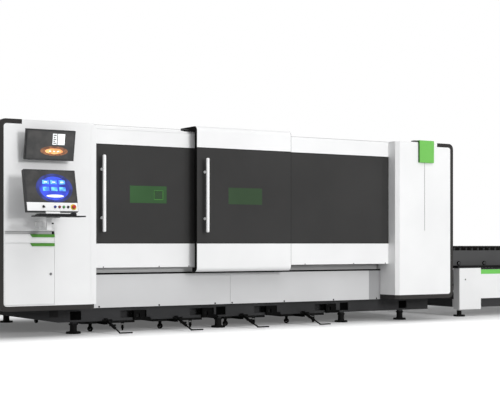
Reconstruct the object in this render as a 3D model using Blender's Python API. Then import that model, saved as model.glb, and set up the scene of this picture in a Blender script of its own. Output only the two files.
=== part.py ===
"""Fiber laser cutting machine with a closed cabin, two cabinets, sliding doors and an exchange table.

Metres, +Z up, front towards -Y. All pieces are placed from the front left foot of the cabin:
x runs right along the machine, y runs back from the cabinets' front plane.
The empty machine_origin moves that corner so that the world origin lies under the middle of the machine.
"""
import math

import bmesh
import bpy
from mathutils import Euler, Matrix, Vector

for old_object in list(bpy.data.objects):
    bpy.data.objects.remove(old_object)

# Clearances
gap = 0.0003
slide_gap = 0.0003

# Cabin: widths along x
left_cabinet_width = 1.001
front_width = 3.796
right_cabinet_width = 0.853
front_x0 = left_cabinet_width
front_x1 = front_x0 + front_width
cabin_x1 = front_x1 + right_cabinet_width

# Cabin: depths along y. The front planes stand ahead of the bed's wall, which is behind the cabinets
cabinet_depth = 0.490
cabin_depth = 2.600
bed_wall_gap = 0.010
middle_door_ahead = 0.390
right_panel_ahead = 0.340
left_door_ahead = 0.255
skirt_ahead = 0.180
bed_ahead = 0.150
bed_rear_margin = 0.150
bed_wall_y = cabinet_depth + bed_wall_gap
middle_door_y = bed_wall_y - middle_door_ahead
right_panel_y = bed_wall_y - right_panel_ahead
left_door_y = bed_wall_y - left_door_ahead
skirt_y = bed_wall_y - skirt_ahead
bed_y = bed_wall_y - bed_ahead
bed_middle_y = (bed_y + cabin_depth - bed_rear_margin) / 2

# Cabin: heights along z
deck_z = 0.268
skirt_bottom_z = 0.2585
skirt_top_z = 0.608
door_bottom_z = 0.671
middle_door_bottom_z = 0.618
window_bottom_z = 0.920
cabin_top_z = 2.110
door_head_height = 0.178
door_top_gap = 0.025
middle_door_rise = 0.050
window_top_z = cabin_top_z - door_head_height
door_top_z = cabin_top_z - door_top_gap
middle_door_top_z = cabin_top_z + middle_door_rise

# Sheet thicknesses
wall = 0.020
cabinet_wall = 0.010
door_thickness = 0.030
window_thickness = 0.006
skirt_sheet = 0.015

# Exchange table and pallets
table_gap = 0.493
table_length = 3.250
table_x0 = cabin_x1 + table_gap
table_x1 = table_x0 + table_length
table_ahead = 0.060
table_y0 = bed_wall_y - table_ahead
table_top_z = 0.607
pallet_gap = 0.150
pallet_shorter_by = 0.050
pallet_inside_gap = 0.299
pallet_x0 = cabin_x1 + pallet_gap
pallet_length = table_length - pallet_shorter_by
pallet_inside_x0 = front_x0 + pallet_inside_gap

# Console: how far its tray stands in front of the cabinets
tray_y0 = -0.540
tray_depth = 0.180

# A pad stands out past the table's last column
table_column_width = 0.100
table_pad_radius = 0.073
centre_x = (table_x1 + table_pad_radius - table_column_width / 2) / 2
centre_y = (cabin_depth + tray_y0) / 2

model = bpy.data.collections.new("laser_cutting_machine")
helpers = bpy.data.collections.new("cutters")
bpy.context.scene.collection.children.link(model)
bpy.context.scene.collection.children.link(helpers)

origin = bpy.data.objects.new("machine_origin", None)
origin.location = (-centre_x, -centre_y, 0)
model.objects.link(origin)


def paint(name, colour, roughness, metallic=0.0):
    """A plain Principled material."""
    made = bpy.data.materials.new(name)
    made.use_nodes = True
    shader = made.node_tree.nodes["Principled BSDF"]
    shader.inputs["Base Color"].default_value = (*colour, 1)
    shader.inputs["Roughness"].default_value = roughness
    shader.inputs["Metallic"].default_value = metallic
    return made


white_paint = paint("white_paint", (0.86, 0.86, 0.86), 0.40)
dark_trim = paint("dark_trim", (0.045, 0.043, 0.042), 0.45)
bed_paint = paint("bed_paint", (0.060, 0.060, 0.062), 0.60)
grey_paint = paint("grey_paint", (0.30, 0.30, 0.30), 0.50)
pallet_steel = paint("pallet_steel", (0.095, 0.095, 0.095), 0.55, 0.4)
tinted_acrylic = paint("tinted_acrylic", (0.055, 0.055, 0.055), 0.25)
green_acrylic = paint("green_acrylic", (0.045, 0.130, 0.045), 0.25)
green_paint = paint("green_paint", (0.190, 0.560, 0.110), 0.40)
pull_green = paint("pull_green", (0.065, 0.290, 0.040), 0.45)
black_plastic = paint("black_plastic", (0.020, 0.020, 0.022), 0.45)
screen_glass = paint("screen_glass", (0.030, 0.032, 0.050), 0.15)
black_steel = paint("black_steel", (0.018, 0.018, 0.018), 0.50, 0.3)
machined_steel = paint("machined_steel", (0.45, 0.46, 0.48), 0.35, 0.9)
blue_plastic = paint("blue_plastic", (0.020, 0.050, 0.300), 0.35)
red_plastic = paint("red_plastic", (0.450, 0.020, 0.015), 0.35)
green_plastic = paint("green_plastic", (0.020, 0.250, 0.030), 0.35)


def link(name, mesh, material, parent=origin):
    """A named object in the model, with its material, under a parent."""
    made = bpy.data.objects.new(name, mesh)
    model.objects.link(made)
    made.parent = parent
    mesh.materials.clear()
    mesh.materials.append(material)
    return made


def finish_mesh(bm, name):
    """Write a bmesh to a new mesh with its faces pointing out."""
    bmesh.ops.recalc_face_normals(bm, faces=bm.faces)
    mesh = bpy.data.meshes.new(name)
    bm.to_mesh(mesh)
    bm.free()
    return mesh


def box(name, low, high, material, parent=origin):
    """A block between two corners, with its origin at its middle."""
    size = [b - a for a, b in zip(low, high)]
    bm = bmesh.new()
    bmesh.ops.create_cube(bm, size=1)
    bmesh.ops.scale(bm, vec=size, verts=bm.verts)
    made = link(name, finish_mesh(bm, name), material, parent)
    made.location = [(a + b) / 2 for a, b in zip(low, high)]
    return made


def round_bar(name, start, end, radius, material, parent=origin, end_radius=None, sides=16):
    """A cylinder or cone between two points."""
    start, end = Vector(start), Vector(end)
    along = end - start
    bm = bmesh.new()
    bmesh.ops.create_cone(
        bm,
        cap_ends=True,
        segments=sides,
        radius1=radius,
        radius2=radius if end_radius is None else end_radius,
        depth=along.length,
    )
    turn = Vector((0, 0, 1)).rotation_difference(along).to_matrix().to_4x4()
    bmesh.ops.transform(bm, matrix=turn, verts=bm.verts)
    made = link(name, finish_mesh(bm, name), material, parent)
    made.location = (start + end) / 2
    made.data.shade_smooth()
    made.data.set_sharp_from_angle(angle=math.radians(40))
    return made


PLANE_TURN = {
    "xy": Euler((0, 0, 0)),
    "xz": Euler((math.pi / 2, 0, 0)),
    "yz": Euler((math.pi / 2, 0, math.pi / 2)),
}
PLANE_NORMAL = {"xy": (0, 0, 1), "xz": (0, 1, 0), "yz": (1, 0, 0)}


def outline_solid(name, points, plane, low, high, material, parent=origin):
    """A flat outline drawn in one plane and given thickness from low to high along that plane's normal."""
    curve = bpy.data.curves.new(name + "_outline", "CURVE")
    curve.dimensions = "2D"
    curve.fill_mode = "BOTH"
    curve.extrude = (high - low) / 2
    spline = curve.splines.new("POLY")
    spline.points.add(len(points) - 1)
    for corner, (a, b) in zip(spline.points, points):
        corner.co = (a, b, 0, 1)
    spline.use_cyclic_u = True
    drawn = bpy.data.objects.new(name + "_outline", curve)
    helpers.objects.link(drawn)
    evaluated = drawn.evaluated_get(bpy.context.evaluated_depsgraph_get())
    mesh = bpy.data.meshes.new_from_object(evaluated)
    bm = bmesh.new()
    bm.from_mesh(mesh)
    bmesh.ops.remove_doubles(bm, verts=bm.verts, dist=0.00001)
    made = link(name, finish_mesh(bm, name), material, parent)
    bpy.data.objects.remove(drawn)
    middle = (low + high) / 2
    made.rotation_euler = PLANE_TURN[plane]
    made.location = [axis * middle for axis in PLANE_NORMAL[plane]]
    return made


def arc(centre, radius, start, end, steps=6):
    """Points along an arc, angles in degrees."""
    angles = [math.radians(start + (end - start) * i / steps) for i in range(steps + 1)]
    return [(centre[0] + radius * math.cos(a), centre[1] + radius * math.sin(a)) for a in angles]


def as_helper(piece):
    """Move a piece to the cutters, hidden from the model."""
    model.objects.unlink(piece)
    helpers.objects.link(piece)
    piece.hide_render = True
    piece.display_type = "WIRE"
    return piece


def boolean(target, pieces, operation):
    """Cut or join pieces with exact Booleans, and hide them."""
    for piece in pieces:
        as_helper(piece)
        step = target.modifiers.new(operation.lower() + "_" + piece.name[:40], "BOOLEAN")
        step.operation = operation
        step.solver = "EXACT"
        step.object = piece
    return target


def cut(target, *pieces):
    return boolean(target, pieces, "DIFFERENCE")


def join(target, *pieces):
    return boolean(target, pieces, "UNION")


# Bed: two hollow side walls on low beams, joined by cross members, on levelling feet
beam_depth = 0.120
beam_bottom_z = 0.120
beam_left_end_z = 0.240
beam_taper_x = front_x0 - 0.261
beam_x1 = cabin_x1 - 0.100
deck_thickness = 0.018
bed_wall_thickness = 0.050
bed_wall_top_z = 0.900
ledge_width = 0.070
upper_rail_z = 0.638
upper_rail_height = 0.031
lower_rail_z = 0.330
lower_rail_height = 0.028
foot_radius = 0.075
foot_height = 0.020
stem_radius = 0.0365
first_foot_before_front = 0.072
second_foot_after_cart = 0.452
third_foot_after_cart = 0.480
last_foot_before_end = 0.390
foot_hole = (0.120, 0.090)
foot_hole_z = 0.140
cart_pitch = 0.815
first_cart_x = front_x0 + 0.364
window_hole = (0.300, 0.074)
window_hole_z = 0.148
window_hole_offset = 0.365
cart_count = 4
cart_centres = [first_cart_x + cart_pitch * i for i in range(cart_count)]
foot_positions = [
    front_x0 - first_foot_before_front,
    cart_centres[1] + second_foot_after_cart,
    cart_centres[3] + third_foot_after_cart,
    beam_x1 - last_foot_before_end,
]

bed_deck_top_z = deck_z - gap
rear_wall_y = 2 * bed_middle_y - bed_wall_y - bed_wall_thickness
rear_beam_y = 2 * bed_middle_y - bed_y - beam_depth
inner_y0 = bed_wall_y + bed_wall_thickness
inner_y1 = rear_wall_y


def mirrored(low_y, high_y):
    """The same span of y on the other side of the bed's middle."""
    return 2 * bed_middle_y - high_y, 2 * bed_middle_y - low_y


def lower_beam(name, low_y, high_y):
    """A beam whose left end tapers up to carry the left cabinet."""
    points = [
        (0, bed_deck_top_z - deck_thickness / 2),
        (0, beam_left_end_z),
        (beam_taper_x, beam_bottom_z),
        (beam_x1, beam_bottom_z),
        (beam_x1, bed_deck_top_z - deck_thickness / 2),
    ]
    return outline_solid(name, points, "xz", low_y, high_y, bed_paint)


bed = lower_beam("bed_frame", bed_y, bed_y + beam_depth)
bed_parts = [lower_beam("rear_beam", rear_beam_y, rear_beam_y + beam_depth)]
for side, (deck_y, wall_y, ledge_y) in enumerate(
    (
        ((bed_y, inner_y0), (bed_wall_y, inner_y0), (inner_y0 - 0.010, inner_y0 + ledge_width)),
        (
            mirrored(bed_y, inner_y0),
            mirrored(bed_wall_y, inner_y0),
            mirrored(inner_y0 - 0.010, inner_y0 + ledge_width),
        ),
    )
):
    bed_parts.append(
        box(
            f"deck_{side}",
            (0, deck_y[0], bed_deck_top_z - deck_thickness),
            (cabin_x1, deck_y[1], bed_deck_top_z),
            bed_paint,
        )
    )
    bed_parts.append(
        box(
            f"side_wall_{side}",
            (beam_taper_x, wall_y[0], bed_deck_top_z - deck_thickness * 0.7),
            (beam_x1, wall_y[1], bed_wall_top_z),
            bed_paint,
        )
    )
    for level, (top, height) in enumerate(
        ((upper_rail_z, upper_rail_height), (lower_rail_z, lower_rail_height))
    ):
        bed_parts.append(
            box(
                f"ledge_{side}_{level}",
                (beam_taper_x + 0.020, ledge_y[0], top - height),
                (beam_x1 - 0.020, ledge_y[1], top - gap),
                bed_paint,
            )
        )
cross_width = 0.120
cross_overlap = 0.030
first_cross_x = beam_taper_x + cross_width / 2 + 0.004
for i, x in enumerate((first_cross_x, *foot_positions[1:])):
    bed_parts.append(
        box(
            f"cross_member_{i}",
            (x - cross_width / 2, bed_y + beam_depth - cross_overlap, beam_bottom_z + 0.005),
            (x + cross_width / 2, rear_beam_y + cross_overlap, bed_deck_top_z - deck_thickness * 0.6),
            bed_paint,
        )
    )
for i, x in enumerate(foot_positions):
    for j, y in enumerate((bed_y + beam_depth / 2, rear_beam_y + beam_depth / 2)):
        bed_parts.append(
            round_bar(f"foot_stem_{i}_{j}", (x, y, foot_height / 2), (x, y, beam_bottom_z + 0.012),
                      stem_radius, bed_paint, sides=24)
        )
        bed_parts.append(
            round_bar(f"foot_pad_{i}_{j}", (x, y, 0), (x, y, foot_height), foot_radius, bed_paint, sides=24)
        )
join(bed, *bed_parts)
hole_depth = 0.060
for i, x in enumerate(foot_positions):
    cut(
        bed,
        box(
            f"foot_hole_{i}",
            (x - foot_hole[0] / 2, bed_y - 0.010, foot_hole_z),
            (x + foot_hole[0] / 2, bed_y + hole_depth, foot_hole_z + foot_hole[1]),
            bed_paint,
        ),
    )
for i, x in enumerate(cart_centres):
    right = x + window_hole_offset
    cut(
        bed,
        box(
            f"beam_window_{i}",
            (right - window_hole[0], bed_y - 0.010, window_hole_z),
            (right, bed_y + hole_depth, window_hole_z + window_hole[1]),
            bed_paint,
        ),
    )

# Left cabinet: a folded white box with one front opening for the drawer and the cupboard
trim_width = 0.045
trim_top_length = 0.227
trim_height = 0.048
trim_top_height = 0.045
trim_radius = 0.065
trim_inner_radius = 0.030
corner_radius = 0.070
opening_x0 = 0.0573
opening_x1 = 0.560
opening_top_z = 1.038
drawer_top_z = 1.0075
drawer_bottom_z = 0.9235
cupboard_top_z = 0.9205
front_sheet = 0.018
seam = 0.0025
shelf_z = 0.924
shelf_thickness = 0.008
cabinet_white_z = deck_z + trim_height


def trim_outline(x_outer, x_inner_end, x_top_end, side):
    """Front view of the dark trim: a C with its back on the cabin's outer side. side is 1 or -1."""
    r, ri = trim_radius, trim_inner_radius
    low, high = deck_z, cabin_top_z
    points = [(x_inner_end, low)]
    points += [(x_outer + side * (r + a), low + r + b) for a, b in arc((0, 0), r, 270, 180)]
    points += [(x_outer + side * (r + a), high - r + b) for a, b in arc((0, 0), r, 180, 90)]
    points += [(x_top_end, high), (x_top_end, high - trim_top_height)]
    inner = x_outer + side * trim_width
    points += [
        (inner + side * (ri + a), high - trim_top_height - ri + b) for a, b in arc((0, 0), ri, 90, 180)
    ]
    points += [(inner + side * (ri + a), low + trim_height + ri + b) for a, b in arc((0, 0), ri, 180, 270)]
    points += [(x_inner_end, low + trim_height)]
    return points


def cabinet_outline(x_trim, x_far, x_top_end, side):
    """Front view of a white cabinet that fills the C of its trim."""
    ri = trim_inner_radius
    low, high = deck_z + trim_height + gap, cabin_top_z
    under = high - trim_top_height - gap
    inner = x_trim + side * (trim_width + gap)
    points = [(x_far, low)]
    points += [(inner + side * (ri + a), low + ri + b) for a, b in arc((0, 0), ri, 270, 180)]
    points += [(inner + side * (ri + a), under - ri + b) for a, b in arc((0, 0), ri, 180, 90)]
    points += [(x_top_end + side * gap, under), (x_top_end + side * gap, high), (x_far, high)]
    return points


left_far = front_x0
left_trim = outline_solid(
    "left_cabinet_trim",
    trim_outline(0, left_far, trim_top_length, 1),
    "xz",
    0,
    cabinet_depth,
    dark_trim,
)
left_cabinet = outline_solid(
    "left_cabinet",
    cabinet_outline(0, left_far, trim_top_length, 1),
    "xz",
    0,
    cabinet_depth,
    white_paint,
)


def corner_cutter(name, x_edge, radius):
    """The waste outside a rounded vertical corner at the front, as a block with a concave side."""
    points = [(x_edge + 0.010, -0.010), (x_edge + 0.010, radius)]
    points += [(x_edge - radius + a, radius - b) for a, b in arc((0, 0), radius, 0, 90)]
    points += [(x_edge - radius, -0.010)]
    return outline_solid(name, points, "xy", deck_z - 0.050, cabin_top_z + 0.050, white_paint)


def inside_block(name, low, high):
    return box(name, low, high, white_paint)


cut(left_cabinet, corner_cutter("left_corner_waste", left_far, corner_radius))
cut(left_trim, corner_cutter("left_plinth_waste", left_far, corner_radius))
left_inner_x0 = trim_width + gap + cabinet_wall
left_inner_top_z = cabin_top_z - trim_top_height - gap - trim_inner_radius
cut(
    left_cabinet,
    inside_block(
        "left_cupboard_space",
        (left_inner_x0, front_sheet, cabinet_white_z + gap + cabinet_wall),
        (left_far - corner_radius, cabinet_depth - cabinet_wall, shelf_z - shelf_thickness),
    ),
    inside_block(
        "left_drawer_space",
        (left_inner_x0, front_sheet, shelf_z),
        (left_far - corner_radius, cabinet_depth - cabinet_wall, left_inner_top_z),
    ),
    inside_block(
        "left_opening_lower",
        (left_inner_x0, -0.010, cabinet_white_z + gap + cabinet_wall),
        (opening_x1, front_sheet + 0.001, shelf_z - shelf_thickness),
    ),
    inside_block(
        "left_opening_front",
        (left_inner_x0, -0.010, cabinet_white_z + gap + cabinet_wall),
        (opening_x1, front_sheet, opening_top_z),
    ),
    inside_block(
        "left_opening_upper",
        (left_inner_x0, -0.010, shelf_z),
        (opening_x1, front_sheet + 0.001, opening_top_z),
    ),
)

# Drawer and cupboard door, each with a slanted green pull along its top edge
pull_x0 = 0.310
pull_slant = 0.020
pull_height = 0.0285
pull_proud = 0.010
pull_sheet = 0.012
drawer_depth = 0.430
drawer_wall = 0.006
drawer_inset = 0.020
drawer_side_top_z = 0.995
leaf_x0 = opening_x0
leaf_x1 = opening_x1 - seam


def pull_profile(top_z):
    """Front view of a pull whose left end slants."""
    return [
        (pull_x0, top_z),
        (pull_x0 + pull_slant, top_z - pull_height),
        (leaf_x1, top_z - pull_height),
        (leaf_x1, top_z),
    ]


drawer_travel = 0.350
drawer = box(
    "drawer", (leaf_x0, 0, drawer_bottom_z), (leaf_x1, front_sheet - gap, drawer_top_z), white_paint
)
drawer_box = (
    (left_inner_x0 + drawer_inset, front_sheet - 0.002, shelf_z + slide_gap),
    (leaf_x1 - drawer_inset, drawer_depth, drawer_side_top_z),
)
join(drawer, box("drawer_box", *drawer_box, white_paint))
cut(
    drawer,
    box(
        "drawer_hollow",
        (drawer_box[0][0] + drawer_wall, front_sheet + drawer_wall, shelf_z + slide_gap + drawer_wall),
        (drawer_box[1][0] - drawer_wall, drawer_depth - drawer_wall, drawer_top_z + 0.020),
        white_paint,
    ),
)
outline_solid(
    "drawer_pull", pull_profile(drawer_top_z), "xz", -pull_sheet - gap, -gap, pull_green
)

cupboard_hinge = bpy.data.objects.new("cupboard_hinge", None)
cupboard_hinge.location = (leaf_x0, 0, 0)
cupboard_hinge.parent = origin
model.objects.link(cupboard_hinge)
cupboard_bottom_z = cabinet_white_z + gap + cabinet_wall + seam
lock_radius = 0.011
lock_x = leaf_x1 - 0.052
lock_z = 0.628
cupboard_door = box(
    "cupboard_door",
    (0, 0, cupboard_bottom_z),
    (leaf_x1 - leaf_x0, front_sheet - gap, cupboard_top_z),
    white_paint,
    cupboard_hinge,
)
join(
    cupboard_door,
    round_bar(
        "cupboard_lock",
        (lock_x - leaf_x0, -0.003, lock_z),
        (lock_x - leaf_x0, front_sheet / 2, lock_z),
        lock_radius,
        black_plastic,
        cupboard_hinge,
    ),
)
outline_solid(
    "cupboard_pull",
    [(a - leaf_x0, b) for a, b in pull_profile(cupboard_top_z)],
    "xz",
    -pull_sheet - gap,
    -gap,
    pull_green,
    cupboard_hinge,
)

# Second screen on a tilting wall bracket: its top leans forward
monitor_width = 0.500
monitor_height = 0.293
monitor_thickness = 0.035
monitor_tilt = 11.0
monitor_x = left_cabinet_width - 0.538
monitor_z = cabin_top_z - 0.232
monitor_front_y = -0.1325
monitor_pin_y = -0.050
pin_clearance = 0.0003
monitor_pin_radius = 0.008
plate_thickness = 0.012
ear_thickness = 0.010
lug_half_width = 0.025
screen_glass_thickness = 0.004

bracket = box(
    "monitor_bracket",
    (monitor_x - 0.050, -plate_thickness - gap, monitor_z - 0.050),
    (monitor_x + 0.050, -gap, monitor_z + 0.050),
    black_steel,
)
bracket_parts = [
    round_bar(
        "monitor_pin",
        (monitor_x - lug_half_width - ear_thickness, monitor_pin_y, monitor_z),
        (monitor_x + lug_half_width + ear_thickness, monitor_pin_y, monitor_z),
        monitor_pin_radius,
        black_steel,
    )
]
for side in (-1, 1):
    inner = monitor_x + side * (lug_half_width + gap)
    outer = inner + side * ear_thickness
    bracket_parts.append(
        box(
            f"monitor_ear_{'left' if side < 0 else 'right'}",
            (min(inner, outer), monitor_pin_y - 0.018, monitor_z - 0.020),
            (max(inner, outer), -plate_thickness / 2, monitor_z + 0.020),
            black_steel,
        )
    )
join(bracket, *bracket_parts)

monitor_pivot = bpy.data.objects.new("monitor_pivot", None)
monitor_pivot.location = (monitor_x, monitor_pin_y, monitor_z)
monitor_pivot.rotation_euler = (math.radians(monitor_tilt), 0, 0)
monitor_pivot.parent = origin
model.objects.link(monitor_pivot)
monitor_reach = -(monitor_front_y - monitor_pin_y) / math.cos(math.radians(monitor_tilt))
monitor_back = -monitor_reach + monitor_thickness
monitor_housing = box(
    "monitor_housing",
    (-monitor_width / 2, -monitor_reach, -monitor_height / 2),
    (monitor_width / 2, monitor_back, monitor_height / 2),
    black_plastic,
    monitor_pivot,
)
join(
    monitor_housing,
    box(
        "monitor_lug",
        (-lug_half_width, monitor_back - 0.005, -0.018),
        (lug_half_width, 0.018, 0.018),
        black_plastic,
        monitor_pivot,
    ),
)
cut(
    monitor_housing,
    round_bar(
        "monitor_pin_hole",
        (-monitor_width / 2, 0, 0),
        (monitor_width / 2, 0, 0),
        monitor_pin_radius + pin_clearance,
        black_plastic,
        monitor_pivot,
    ),
)
screen_margin = 0.006
box(
    "monitor_screen",
    (-monitor_width / 2 + screen_margin, -monitor_reach - gap - screen_glass_thickness,
     -monitor_height / 2 + screen_margin),
    (monitor_width / 2 - screen_margin, -monitor_reach - gap, monitor_height / 2 - screen_margin),
    screen_glass,
    monitor_pivot,
)

# Console: it swivels on a wall bracket and tilts on the arm's pin; its top leans back
console_width = 0.515
console_height = 0.408
console_thickness = 0.050
console_tilt = 14.0
console_x = left_cabinet_width - 0.5985
console_bottom_z = 1.220
console_front_y = -0.350
strip_height = 0.086
strip_margin = 0.004
swivel_y = -0.075
swivel_z = 1.100
swivel_half_height = 0.025
swivel_radius = 0.030
swivel_pin_radius = 0.012
arm_thickness = 0.030
arm_half_width = 0.024
tilt_pin_y = -0.243
tilt_pin_z = 1.320
tilt_pin_radius = 0.012
ear_half_gap = 0.030

knuckle_low = swivel_z - swivel_half_height
knuckle_high = swivel_z + swivel_half_height
console_bracket = box(
    "console_bracket",
    (console_x - 0.045, swivel_y + swivel_radius * 0.6, knuckle_low),
    (console_x + 0.045, -gap, knuckle_high),
    white_paint,
)
join(
    console_bracket,
    round_bar(
        "swivel_knuckle",
        (console_x, swivel_y, knuckle_low),
        (console_x, swivel_y, knuckle_high),
        swivel_radius,
        white_paint,
        sides=24,
    ),
)
cut(
    console_bracket,
    round_bar(
        "swivel_hole",
        (console_x, swivel_y, knuckle_low - 0.010),
        (console_x, swivel_y, knuckle_high + 0.010),
        swivel_pin_radius + pin_clearance,
        white_paint,
    ),
)

swivel = bpy.data.objects.new("console_swivel", None)
swivel.location = (console_x, swivel_y, 0)
swivel.parent = origin
model.objects.link(swivel)
arm_low = knuckle_low - gap - arm_thickness
riser_y = tilt_pin_y - swivel_y
console_arm = box(
    "console_arm",
    (-arm_half_width, riser_y - arm_thickness / 2, arm_low),
    (arm_half_width, arm_half_width, arm_low + arm_thickness),
    white_paint,
    swivel,
)
join(
    console_arm,
    round_bar(
        "swivel_pin", (0, 0, arm_low + arm_thickness / 2), (0, 0, knuckle_high + 0.015),
        swivel_pin_radius, white_paint, swivel
    ),
    box(
        "arm_riser",
        (-arm_half_width, riser_y - arm_thickness / 2, arm_low + arm_thickness / 2),
        (arm_half_width, riser_y + arm_thickness / 2, tilt_pin_z + tilt_pin_radius + 0.006),
        white_paint,
        swivel,
    ),
    round_bar(
        "tilt_pin",
        (-ear_half_gap - ear_thickness, riser_y, tilt_pin_z),
        (ear_half_gap + ear_thickness, riser_y, tilt_pin_z),
        tilt_pin_radius,
        white_paint,
        swivel,
    ),
)

console_pivot = bpy.data.objects.new("console_tilt", None)
console_pivot.location = (0, riser_y, tilt_pin_z)
console_pivot.rotation_euler = (-math.radians(console_tilt), 0, 0)
console_pivot.parent = swivel
model.objects.link(console_pivot)
# The console's bottom front edge, seen from the tilt pin in the console's own leaning frame
lean = Matrix.Rotation(math.radians(console_tilt), 3, "X")
console_foot = lean @ Vector((0, console_front_y - tilt_pin_y, console_bottom_z - tilt_pin_z))
face_y = console_foot.y
foot_z = console_foot.z
console_housing = box(
    "console_housing",
    (-console_width / 2, face_y, foot_z),
    (console_width / 2, face_y + console_thickness, foot_z + console_height),
    black_plastic,
    console_pivot,
)
ear_height = 0.024
console_ears = []
for side in (-1, 1):
    inner = side * (ear_half_gap)
    outer = side * (ear_half_gap + ear_thickness)
    console_ears.append(
        box(
            f"console_ear_{'left' if side < 0 else 'right'}",
            (min(inner, outer), face_y + console_thickness - 0.005, -ear_height),
            (max(inner, outer), ear_height, ear_height),
            black_plastic,
            console_pivot,
        )
    )
join(console_housing, *console_ears)
cut(
    console_housing,
    round_bar(
        "tilt_pin_hole", (-0.100, 0, 0), (0.100, 0, 0), tilt_pin_radius + pin_clearance,
        black_plastic, console_pivot
    ),
)
glass_y = face_y - gap
box(
    "console_screen",
    (-console_width / 2, glass_y - screen_glass_thickness, foot_z + strip_height + gap),
    (console_width / 2, glass_y, foot_z + console_height),
    screen_glass,
    console_pivot,
)
control_panel = box(
    "control_panel",
    (-console_width / 2 + strip_margin, glass_y - screen_glass_thickness, foot_z + strip_margin),
    (console_width / 2 - strip_margin, glass_y, foot_z + strip_height),
    white_paint,
    console_pivot,
)

# Controls on the white strip: four push buttons, an emergency stop and a rotary selector
button_radius = 0.011
button_pitch = 0.0435
first_button_x = 0.024
button_travel = 0.004
button_proud = 0.012
button_depth = 0.003
button_row_z = foot_z + strip_height / 2
stop_radius = 0.019
stop_proud = 0.026
selector_x = -0.092
selector_radius = 0.009
panel_front_y = glass_y - screen_glass_thickness


def control_hole(name, x):
    """A hole through the strip, and a pocket behind it, for one control's stem."""
    for target, label in ((control_panel, "strip"), (console_housing, "pocket")):
        cut(
            target,
            round_bar(
                f"{name}_{label}_hole",
                (x, panel_front_y - 0.020, button_row_z),
                (x, face_y + button_depth + button_travel + 0.002, button_row_z),
                button_radius + pin_clearance,
                white_paint,
                console_pivot,
            ),
        )


def push_button(name, x, material):
    """A plain flush button that travels into its hole."""
    control_hole(name, x)
    made = round_bar(
        name,
        (x, panel_front_y - button_proud, button_row_z),
        (x, face_y + button_depth, button_row_z),
        button_radius,
        material,
        console_pivot,
    )
    return made


button_colours = {
    "button_blue": blue_plastic,
    "button_red": red_plastic,
    "button_green": green_plastic,
    "button_black": black_plastic,
}
for i, (name, material) in enumerate(button_colours.items()):
    push_button(name, first_button_x + button_pitch * i, material)
stop_x = first_button_x + button_pitch * len(button_colours) + 0.012
emergency_stop = push_button("emergency_stop", stop_x, red_plastic)
join(
    emergency_stop,
    round_bar(
        "stop_mushroom",
        (stop_x, panel_front_y - stop_proud, button_row_z),
        (stop_x, panel_front_y - button_proud + 0.002, button_row_z),
        stop_radius * 0.85,
        red_plastic,
        console_pivot,
        end_radius=stop_radius,
        sides=24,
    ),
)
selector_switch = push_button("selector_switch", selector_x, black_plastic)
selector_lever = box(
    "selector_lever",
    (-selector_radius * 0.3, -0.006, -selector_radius * 1.6),
    (selector_radius * 0.3, 0.006, selector_radius * 1.6),
    black_plastic,
    console_pivot,
)
selector_lever.location = (selector_x, panel_front_y - button_proud - 0.003, button_row_z)
selector_lever.rotation_euler = (0, math.radians(-40), 0)
join(selector_switch, selector_lever)

# Keyboard tray, level, hung below the console by one lug, with a keyboard on it
tray_width = 0.470
tray_x = console_x + 0.0165
tray_thickness = 0.012
tray_top_z = 1.178
keyboard_size = (0.330, 0.120, 0.018)
keyboard_x = -0.050
level = bpy.data.objects.new("tray_level", None)
level.location = (0, 0, 0)
level.rotation_euler = (math.radians(console_tilt), 0, 0)
level.parent = console_pivot
model.objects.link(level)
tray_shift_x = tray_x - console_x
tray_front = tray_y0 - tilt_pin_y
tray_top = tray_top_z - tilt_pin_z
tray_low = Vector((tray_shift_x - tray_width / 2, tray_front, tray_top - tray_thickness))
tray_high = Vector((tray_shift_x + tray_width / 2, tray_front + tray_depth, tray_top))
keyboard_tray = box("keyboard_tray", tray_low, tray_high, black_plastic, level)
join(
    keyboard_tray,
    box(
        "tray_lug",
        (-0.070, face_y + 0.001, foot_z - 0.055),
        (0.070, face_y + 0.021, foot_z - gap),
        black_plastic,
        console_pivot,
    ),
)
keyboard_front = tray_low.y + 0.020
box(
    "keyboard",
    (tray_shift_x + keyboard_x - keyboard_size[0] / 2, keyboard_front, tray_high.z + gap),
    (
        tray_shift_x + keyboard_x + keyboard_size[0] / 2,
        keyboard_front + keyboard_size[1],
        tray_high.z + gap + keyboard_size[2],
    ),
    black_plastic,
    level,
)

# Sliding doors and the fixed panel: folded white sheets with a recessed middle that holds the tinted window
window_recess = window_thickness + gap
stile = 0.050
view_window_width = 0.425
view_window_height = 0.178
view_window_z = (window_bottom_z + window_top_z) / 2 + 0.002
left_view_inset = 0.482
middle_view_inset = 0.385
left_handle_inset = 0.165
middle_handle_inset = 0.094
handle_radius = 0.0175
handle_bottom_z = window_bottom_z + 0.115
handle_top_z = window_top_z - 0.112
handle_reach = 0.065
standoff_radius = 0.011
standoff_low_z = handle_bottom_z + 0.150
standoff_high_z = handle_top_z - 0.145
door_foot_depth = 0.155
door_foot_thickness = 0.015
rail_lower_y = bed_wall_y - 0.155
door_edge_gap = 0.004
left_door_width = 1.285
middle_door_width = 1.187
door_overlap = 0.087
panel_overlap = 0.020
left_door_x0 = front_x0 + door_edge_gap
left_door_x1 = left_door_x0 + left_door_width
middle_door_x0 = left_door_x1 - door_overlap
middle_door_x1 = middle_door_x0 + middle_door_width


def front_section(front_y, low, high):
    """Side view of a front sheet with a recess for the window, from its lower front edge upwards."""
    recess = front_y + window_recess
    return [
        (front_y, low),
        (front_y, window_bottom_z),
        (recess, window_bottom_z),
        (recess, window_top_z),
        (front_y, window_top_z),
        (front_y, high),
    ]


def window_opening(panel, name, x0, x1, front_y, thickness):
    """The cut-out behind the tinted window."""
    cut(
        panel,
        box(
            name + "_cutout",
            (x0 + stile, front_y - 0.050, window_bottom_z + stile),
            (x1 - stile, front_y + thickness + 0.050, window_top_z - stile),
            white_paint,
        ),
    )


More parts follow.
